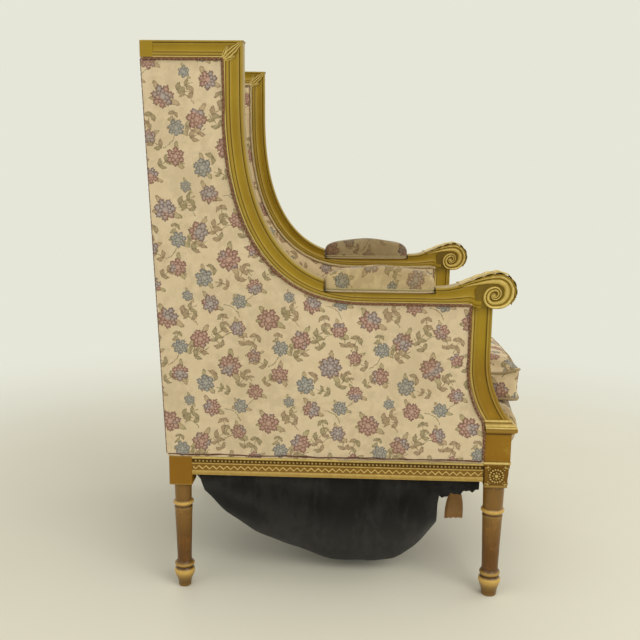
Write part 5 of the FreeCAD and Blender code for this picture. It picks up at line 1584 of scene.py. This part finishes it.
def frayed_hem(hand):
    """The outside cover's raw lower edge: dark wandering threads that also stand for the shade line along it,
    and pale torn ones over the front half.
    """
    form = Form()
    for strand in range(6):
        back = np.linspace(372.0 + 11 * strand, 652.0 - 7 * strand, 160)
        wave = np.sin(back / (7.0 + strand) + strand * 2.1)
        wave += 0.8 * np.sin(back / (23.0 + 3 * strand) + strand)
        path = spread(back, 0.7 - 0.5 * np.cos(back / 9.0 + strand), 288.2 + 0.9 * wave + 0.5 * strand)
        form.tube(path, 0.8, 5, up=(0.0, 1.0, 0.0))
    form.piece("frayed_hem", frayed_finish, hand, 80)
    # Dark wine threads the whole length of the foot: partly thread, partly a painted shade line under the
    # cover's edge
    hem = Form()
    back = np.linspace(rear_line(288) + 2, 655, 330)
    for strand in range(2):
        wave = np.sin(back / (19.0 + 4 * strand) + strand * 1.7) + 0.5 * np.sin(back / 7.0 + strand)
        path = np.stack([back, 0.6 + 0.3 * np.cos(back / 8.0 + strand), 291.6 + 0.9 * wave + 0.7 * strand],
                        -1)
        hem.tube(path, 0.9, 5, up=(0.0, 1.0, 0.0))
    hem.piece("hem_threads_and_shade_line", wine_strand, hand, 80)


def back_gimp():
    """Wine braid round the outside back."""
    low, high = 291.0, overall_height - top_rail_height - 3.0
    turns = []
    for height, sign in ((low, -1), (low, 1), (high, 1), (high, -1), (low, -1)):
        turns.append((sign * (half_width(rear_line(height)) - 9.0), rear_line(height) - 0.4, height))
    gimp("back_gimp", np.array(turns), (0.0, -1.0, 0.0), (wine_strand, wine_strand, fleck_strand), 3.4,
         1.25, 7.5, step=2.0)


# Arm pads

def arm_pad(hand):
    """Domed pad: a rounded plan, sides that bulge over the braid, and a top that rises in a long low arch."""
    form = Form()
    low, high = 622.4, 672.5
    middle, half_long = (pad_rear + pad_front) / 2, (pad_front - pad_rear) / 2 - 0.5
    rise = np.linspace(0, np.pi / 2, 22)[:, None]
    turn = np.linspace(0, 2 * np.pi, 96, endpoint=False)[None]
    cosine, sine = np.cos(turn), np.sin(turn)
    plan = (np.abs(cosine) ** 5 + np.abs(sine) ** 5) ** (-1 / 5)
    shrink = np.cos(rise) ** 0.42
    swell = 1 + 0.05 * np.sin(2 * rise)
    long = half_long * plan * cosine * shrink ** 0.8 * swell * 0.985
    wide = 21.6 * plan * sine * shrink * swell
    long = long - (1 - shrink) * half_long * 0.10 * plan * cosine
    top = low + 4 + (high - low - 4) * np.sin(rise) ** 0.85 * (1 - 0.13 * (plan * cosine) ** 2)
    droop = 1.4 * np.sin(long / 19.0 + 0.7) * np.cos(rise) + 0.8 * np.sin(long / 11.0) * np.sin(2 * rise)
    points = np.stack([middle + long, 20.0 + wide, top + droop * 0.6], -1)
    foot = np.stack([middle + half_long * plan * cosine * 0.985, 20.0 + 20.8 * plan * sine,
                     np.full_like(turn, low)], -1)
    points = np.concatenate([foot, points])
    arc = np.concatenate([np.zeros((1, 1)), 8 + rise * 34])
    cloth = np.stack([points[..., 0], points[..., 1] + arc * np.sign(sine)], -1)
    form.grid(points, cloth=cloth, ring=True, ends=True)
    # The far (left) pad takes the darker, more soiled copy: painted shade
    finish = pad_finish if hand == "right" else soiled_shaded_finish
    obj = form.piece("arm_pad_cover", finish, hand, 70)
    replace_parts(obj, "arm_pad_" + hand)
    ring = foot[0]
    ring = np.concatenate([ring, ring[:1]])
    for level in (2.0, 6.2):
        route = ring + np.array([0.0, 0.0, level])
        route[:, 1] = 20 + (route[:, 1] - 20) * 1.03
        form = Form()
        for strand in range(2):
            path, at = even_path(route, 1.5)
            phase = 2 * np.pi * (at / 6.0 + strand / 2)
            out = np.stack([np.zeros_like(at), np.sign(path[:, 1] - 20) * (0.8 + 0.6 * np.cos(phase)),
                            1.1 * np.sin(phase)], -1)
            form.tube(path + out, 1.15, 5)
        form.piece("arm_pad_gimp_%d" % level, cream_strand if level < 3 else olive_strand, hand, 80)


# Seat cushion

cushion_rear = 152.0
cushion_front = 742.0
cushion_low = deck_top + 0.6
boxing = 62.0


def seam_ring(level):
    """The seam between the boxing and a panel: a rounded plan with a bowed front and corners like ears."""
    corner = 16.0
    steps = 220
    rear_half = half_width(cushion_rear) - 58.5
    front_half = half_width(cushion_front) - 58.5
    sides = [
        np.stack([np.linspace(-rear_half + corner, rear_half - corner, steps // 4),
                  np.full(steps // 4, cushion_rear)], -1),
        half_circle((rear_half - corner, cushion_rear + corner), corner, -90, 90, 10)[1:-1],
        np.stack([np.linspace(rear_half, front_half, steps // 4),
                  np.linspace(cushion_rear + corner, cushion_front - corner, steps // 4)], -1),
        half_circle((front_half - corner, cushion_front - corner), corner, 0, 90, 10)[1:-1],
    ]
    ring = np.concatenate(sides)
    front = np.linspace(front_half - corner, 0, steps // 8)
    bow = front_bow * (1 - (front / front_half) ** 2)
    right_half = np.concatenate([ring[len(sides[0]) // 2:], np.stack([front, cushion_front + bow], -1)])
    left_half = right_half[::-1] * np.array([-1.0, 1.0])
    ring = np.concatenate([right_half, left_half])
    reach = np.minimum.reduce([np.hypot(np.abs(ring[:, 0]) - front_half, ring[:, 1] - cushion_front),
                               np.full(len(ring), 400.0)])
    ear = np.exp(-(reach / 26.0) ** 2)
    sag = 3.0 * np.sin(ring[:, 1] / 61.0) * (1 - ear)
    height = cushion_low + (boxing if level else 3.0) + (8.0 * ear + sag * 0.4 if level else -2.0 * ear * 0)
    return np.column_stack([ring, height])


def cushion_start():
    """The cushion before it is blown up: panel centres, seams and a boxing that is drawn in at mid height."""
    top, low = seam_ring(True), seam_ring(False)
    centre = np.array([0.0, (cushion_rear + cushion_front) / 2, 0.0])
    rows = []
    for pull in (0.02, 0.25, 0.5, 0.72, 0.88, 0.96, 1.0):
        ring = centre + (low - centre) * np.array([pull, pull, 1.0])
        rows.append(ring)
    for rise in (0.25, 0.5, 0.75):
        ring = low + (top - low) * rise
        squeeze = 1 - 0.012 * math.sin(math.pi * rise)
        rows.append(np.column_stack([ring[:, 0] * squeeze, centre[1] + (ring[:, 1] - centre[1]) * squeeze,
                                     ring[:, 2]]))
    for pull in (1.0, 0.96, 0.88, 0.72, 0.5, 0.25, 0.02):
        ring = centre + (top - centre) * np.array([pull, pull, 1.0])
        crown = 24.0 * (1 - pull ** 2.2)
        rows.append(np.column_stack([ring[:, 0], ring[:, 1], ring[:, 2] + crown]))
    return np.array(rows)


def read_vectors(items, word):
    """A vector of every vertex or face, as rows."""
    values = np.zeros(len(items) * 3)
    items.foreach_get(word, values)
    return values.reshape(-1, 3)


def inflate(obj, pressure, cap, fixed_below):
    """Blow the mesh up as cloth, and keep each point within a distance of where it started."""
    start = read_vectors(obj.data.vertices, "co")
    cloth = obj.modifiers.new("cloth", "CLOTH")
    settings = cloth.settings
    settings.quality = 5
    settings.mass = 0.3
    settings.tension_stiffness = 12
    settings.compression_stiffness = 12
    settings.shear_stiffness = 6
    settings.bending_stiffness = 0.6
    settings.use_pressure = True
    settings.uniform_pressure_force = pressure
    settings.effector_weights.gravity = 0.0
    cloth.collision_settings.use_self_collision = False
    scene = bpy.context.scene
    scene.frame_start, scene.frame_end = 1, 20
    cloth.point_cache.frame_start, cloth.point_cache.frame_end = 1, 20
    for number in range(1, 21):
        scene.frame_set(number)
    shape = obj.evaluated_get(bpy.context.evaluated_depsgraph_get()).data
    moved = read_vectors(shape.vertices, "co")
    obj.modifiers.remove(cloth)
    scene.frame_set(1)
    step = moved - start
    size = np.linalg.norm(step, axis=1)[:, None]
    limit = np.minimum(1.0, cap / np.maximum(size, 1e-9))
    placed = start + step * limit
    placed[:, 2] = np.maximum(placed[:, 2], fixed_below)
    obj.data.vertices.foreach_set("co", placed.ravel())
    obj.data.update()


def panel_cloth(mesh, shift):
    """The cushion's cloth map: from above on the panels, from the front or the side on the boxing."""
    count = len(mesh.polygons)
    normals = np.abs(read_vectors(mesh.polygons, "normal"))
    corners = np.zeros(len(mesh.loops), np.int32)
    mesh.loops.foreach_get("vertex_index", corners)
    places = read_vectors(mesh.vertices, "co")[corners]
    totals = np.zeros(count, np.int32)
    mesh.polygons.foreach_get("loop_total", totals)
    normals = np.repeat(normals, totals, axis=0)
    upright = normals[:, 2] < 0.55
    sideways = upright & (normals[:, 0] > normals[:, 1])
    flat = np.where(sideways[:, None], places[:, [1, 2]],
                    np.where(upright[:, None], places[:, [0, 2]], places[:, [0, 1]]))
    sheet = mesh.uv_layers.get("cloth") or mesh.uv_layers.new(name="cloth")
    sheet.data.foreach_set("uv", (flat + np.array(shift)).astype(np.float32).ravel())


def seat_cushion():
    """The loose cushion: boxing, two panels and their welts."""
    form = Form()
    form.grid(cushion_start(), ring=True, ends=True)
    obj = form.piece("seat_cushion_cover", cushion_finish, None, 60, "cushion")
    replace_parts(obj, "seat_cushion")
    bpy.context.view_layer.objects.active = obj
    mesher = obj.modifiers.new("mesher", "REMESH")
    mesher.mode = "VOXEL"
    mesher.voxel_size = 0.0055
    mesh = bpy.data.meshes.new_from_object(obj.evaluated_get(bpy.context.evaluated_depsgraph_get()))
    obj.modifiers.clear()
    obj.data = mesh
    inflate(obj, 4.0, 0.012, (cushion_low - 0.4) / 1000)
    work = bmesh.new()
    work.from_mesh(obj.data)
    bmesh.ops.smooth_vert(work, verts=work.verts, factor=0.5, use_axis_x=True, use_axis_y=True,
                          use_axis_z=True)
    tree = BVHTree.FromBMesh(work)
    work.to_mesh(obj.data)
    work.free()
    rumple(obj.data)
    if not obj.data.materials:
        obj.data.materials.append(cushion_finish)
    obj.data.shade_smooth()
    panel_cloth(obj.data, (0.03, 0.11))
    for level, name in ((True, "cushion_top_welt"), (False, "cushion_low_welt")):
        ring = from_chair(seam_ring(level))
        snapped = []
        for point in ring:
            near, normal, _, _ = tree.find_nearest(Vector(point))
            snapped.append(near + normal * 0.0012)
        path = np.array(snapped) * 1000
        path = np.column_stack([path[:, 0], half_depth - path[:, 1], path[:, 2]])
        for _ in range(2):
            path = (np.roll(path, 1, 0) + 2 * path + np.roll(path, -1, 0)) / 4
        welt = Form()
        welt.tube(path, 2.6, 8, closed=True)
        welt.piece(name, welt_finish, None, 80, "cushion")


def rumple(mesh):
    """Small creases: waves that run in from the front corners and along the boxing."""
    places = read_vectors(mesh.vertices, "co")
    normals = read_vectors(mesh.vertices, "normal")
    x, y, z = places.T * 1000
    corner = np.exp(-((np.abs(x) - 250) ** 2 + (y + 350) ** 2) / 120.0 ** 2)
    fan = np.arctan2(y + 390, np.abs(x) - 290)
    creases = 1.3 * corner * np.sin(16 * fan)
    boxing_wave = 0.9 * np.sin(x / 21.0) * np.sin(y / 27.0) * np.exp(-((z - 425) / 26.0) ** 2)
    slow = 1.2 * np.sin(x / 57.0 + 1.0) * np.sin(y / 71.0)
    placed = places + normals * ((creases + boxing_wave + slow) / 1000)[:, None]
    placed[:, 2] = np.maximum(placed[:, 2], (cushion_low - 0.4) / 1000)
    mesh.vertices.foreach_set("co", placed.ravel())
    mesh.update()


# Dust cover and the loose webbing

def dust_cover():
    """Cambric fallen from the front: it hangs from three rails like a hammock, lowest near the right side."""
    form = Form()
    spots = [(60, 230), (84, 188), (140, 122), (200, 82), (270, 50), (360, 27), (448, 19), (500, 32),
             (545, 62), (578, 104)]
    back = np.linspace(60, 578, 90)
    low = np.interp(back, [b for b, _ in spots], [z for _, z in spots])
    for _ in range(3):
        low[1:-1] = (low[:-2] + 2 * low[1:-1] + low[2:]) / 4
    share = np.concatenate([np.linspace(0, 0.17, 16, endpoint=False), np.linspace(0.17, 1, 60)])[None]
    hang = np.where(share < 0.17, np.sin(np.pi / 2 * share / 0.17),
                    np.abs(np.cos(np.pi / 2 * (share - 0.17) / 0.83)) ** 0.9)
    edge = 244.4
    inner = np.where(back < 90, 55.0, 18.0)
    left = (rear_half_width + back * math.tan(splay) - inner)[:, None]
    drop = (edge - low)[:, None]
    height = edge - drop * hang
    fold = 7.0 * np.exp(-((share - 0.13 - 0.04 * np.sin(back / 90.0)[:, None]) / 0.03) ** 2)
    fold += 4.0 * np.sin(back / 37.0)[:, None] * np.exp(-((share - 0.3) / 0.1) ** 2)
    fold += 3.0 * np.sin(back[:, None] / 23.0 + 9 * share) * hang
    ripple = fold * ease(drop, 10, 80) * hang
    height = np.minimum(height + ripple, edge)
    height = np.maximum(height, low[:, None] - 1.0)
    near = np.exp(-(share / 0.2) ** 2) * ease(drop, 20, 90)
    hollow = 11.0 * np.exp(-((height - 195) / 42.0) ** 2) * np.exp(-((back[:, None] - 330) / 150.0) ** 2)
    pleat = 6.0 * np.sin(back[:, None] / 34.0 + height / 17.0)
    pleat += 3.0 * np.sin(back[:, None] / 15.0 - height / 25.0 + 1.0)
    across = left * (2 * share - 1) + near * np.sin(np.pi * np.clip((edge - height) / 110.0, 0,
                                                                    1)) ** 0.7 * (hollow + pleat + 5.0)
    forward = back[:, None] + 4 * np.sin(9 * share) * ease(back[:, None], 520, 578)
    points = spread(across, forward, height)
    cloth = spread(back[:, None], share * 620)
    thick_cover(form, points, points + np.array([0.0, 0.0, -0.8]), cloth)
    obj = form.piece("dust_cover_hanging", cambric_finish, None, 60)
    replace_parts(obj, "dust_cover")


def dust_cover_strip():
    """The torn strip of cambric that still hangs on the right rail between the hammock and the leg."""
    form = Form()
    back = np.linspace(560, 655, 40)[:, None]
    drop = np.linspace(0, 1, 9)[None]
    low = 206.0 + 18.0 * ease(back, 570, 650) + 2.5 * np.sin(back / 4.3) + 1.5 * np.sin(back / 1.9)
    x = -(half_width(back) - 18.6) + 3.0 * np.sin(back / 13.0) * drop + 2.0 * drop
    points = spread(x, back, 244.2 + (low - 244.2) * drop)
    thick_cover(form, points, points + np.array([0.8, 0.0, 0.0]), spread(back, drop * 38))
    obj = form.piece("dust_cover_strip", cambric_finish, None, 60)
    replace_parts(obj, "dust_cover")


def webbing_tail():
    """A loose end of jute webbing: it leaves the rail edge on, turns to show its face and ends ragged."""
    form = Form()
    down = np.linspace(0, 1, 24)[:, None]
    off = np.linspace(-1, 1, 9)[None]
    twist = np.radians(12 + 70 * ease(down, 0.0, 0.75))
    half = 6.0 + 13.5 * ease(down, 0.05, 0.9)
    middle = 617.0 + 5.0 * down + 2 * np.sin(4 * down)
    height = 244.8 - 116.0 * down - np.where(down > 0.95, 3.0 * np.abs(np.sin(off * 7)), 0.0)
    x0 = -half_width(610) + 100
    x = x0 + 6 * down + half * off * np.cos(twist) * 0.5
    back = middle + half * off * np.sin(twist)
    points = spread(x, back, height + 0 * off)
    cloth = spread(25 + off * 19, down * 120)
    thick_cover(form, points, points + np.array([1.4, 0.0, 0.0]), cloth)
    obj = form.piece("webbing_tail_hanging", webbing_finish, None, 60)
    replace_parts(obj, "webbing_tail")


for hand in hands:
    wing_stile(hand)
    wing_top_rail(hand)
    arm_rail(hand)
    arm_support(hand)
    front_leg(hand)
    back_post(hand)
    side_seat_rail(hand)
    outside_side_cover(hand)
    inside_side_cover(hand)
    side_gimps(hand)
    frayed_hem(hand)
    arm_pad(hand)
front_seat_rail()
rear_seat_rail()
crest_rail()
inside_back_cover()
outside_back_cover()
back_gimp()
front_edge_cover()
deck_cover()
seat_cushion()
dust_cover()
dust_cover_strip()
webbing_tail()


# Floor, light and camera

backdrop_colour = paint(230, 230, 216)


def seen_directly(tree):
    """One for what the camera sees, also in gloss or through glass, and nought for light on things."""
    path = put(tree, "ShaderNodeLightPath")
    seen = calc(tree, "MAXIMUM", path.outputs["Is Camera Ray"], path.outputs["Is Glossy Ray"])
    return calc(tree, "MAXIMUM", seen, path.outputs["Is Transmission Ray"])


def floor():
    """Pale floor with the chair's shadow, which passes into the backdrop's colour away from the chair."""
    finish, tree, shader = new_finish("studio_floor")
    place = object_place(tree)
    soft = noise(tree, place, 1.5, 2.0)
    tree.links.new(blend(tree, soft, paint(214, 211, 192), paint(222, 219, 201)), shader.inputs["Base Color"])
    shader.inputs["Roughness"].default_value = 0.9
    away = vector_calc(tree, "LENGTH", place, output="Value")
    far = times(tree, span(tree, away, 0.8, 2.2), seen_directly(tree))
    glow = put(tree, "ShaderNodeEmission", {"Color": backdrop_colour, "Strength": 1.0})
    mixed = put(tree, "ShaderNodeMixShader", {0: far, 1: shader.outputs[0], 2: glow.outputs[0]})
    tree.links.new(mixed.outputs[0], tree.nodes["Material Output"].inputs["Surface"])
    size = 12.0
    mesh = bpy.data.meshes.new("studio_floor")
    mesh.from_pydata([(-size, -size, 0), (size, -size, 0), (size, size, 0), (-size, size, 0)], [],
                     [(0, 1, 2, 3)])
    mesh.materials.append(finish)
    obj = bpy.data.objects.new("studio_floor", mesh)
    bpy.context.scene.collection.objects.link(obj)


def world():
    """Pale backdrop for the camera and for reflections; a dimmer even light for everything else."""
    sky = bpy.data.worlds.new("studio")
    bpy.context.scene.world = sky
    sky.use_nodes = True
    tree = sky.node_tree
    back = tree.nodes["Background"]
    backdrop = put(tree, "ShaderNodeBackground", {"Color": backdrop_colour, "Strength": 1.0})
    back.inputs["Color"].default_value = (1.0, 0.985, 0.95, 1.0)
    back.inputs["Strength"].default_value = 0.62
    mixed = put(tree, "ShaderNodeMixShader",
                {0: seen_directly(tree), 1: back.outputs[0], 2: backdrop.outputs[0]})
    tree.links.new(mixed.outputs[0], tree.nodes["World Output"].inputs["Surface"])


def lamp(name, place, target, size, power):
    """An area lamp that looks at a point."""
    light = bpy.data.lights.new(name, "AREA")
    light.size = size
    light.energy = power
    light.color = (1.0, 0.98, 0.93)
    obj = bpy.data.objects.new(name, light)
    bpy.context.scene.collection.objects.link(obj)
    ahead = Vector(target) - Vector(place)
    obj.location = place
    obj.rotation_euler = ahead.to_track_quat("-Z", "Y").to_euler()


# The photograph's camera, solved from the chair's straight lines
focal_pixels = 849.93
picture_pixels = 640
camera_place = (-1.8992, 0.035, 0.8669)
camera_turn = (0.1851, 0.0054, 0.0104)


def camera():
    """The photograph's view: square from the right side, a little from above, turned slightly."""
    lens = bpy.data.cameras.new("view")
    lens.sensor_width = 36.0
    lens.lens = focal_pixels / picture_pixels * 36.0
    obj = bpy.data.objects.new("view", lens)
    bpy.context.scene.collection.objects.link(obj)
    pitch, yaw, roll = camera_turn
    ahead = Vector((math.cos(pitch) * math.cos(yaw), math.cos(pitch) * math.sin(yaw), -math.sin(pitch)))
    right = ahead.cross(Vector((0, 0, 1))).normalized()
    up = right.cross(ahead)
    turned_right = right * math.cos(roll) + up * math.sin(roll)
    turned_up = up * math.cos(roll) - right * math.sin(roll)
    axes = Matrix((turned_right, turned_up, -ahead)).transposed()
    obj.matrix_world = Matrix.Translation(camera_place) @ axes.to_4x4()
    bpy.context.scene.camera = obj


floor()
world()
lamp("key", (-2.4, -1.6, 2.4), (0.0, 0.0, 0.5), 1.8, 34.0)
lamp("fill", (-2.2, 2.2, 1.6), (0.0, 0.0, 0.5), 2.2, 14.0)
lamp("front", (0.6, -3.0, 1.8), (0.0, 0.0, 0.5), 2.2, 16.0)
lamp("far", (2.8, 0.6, 2.2), (0.0, 0.0, 0.5), 2.2, 16.0)
lamp("over", (-0.9, -0.4, 3.0), (0.1, -0.1, 0.6), 1.6, 16.0)
camera()
bpy.context.scene.view_settings.view_transform = "Standard"
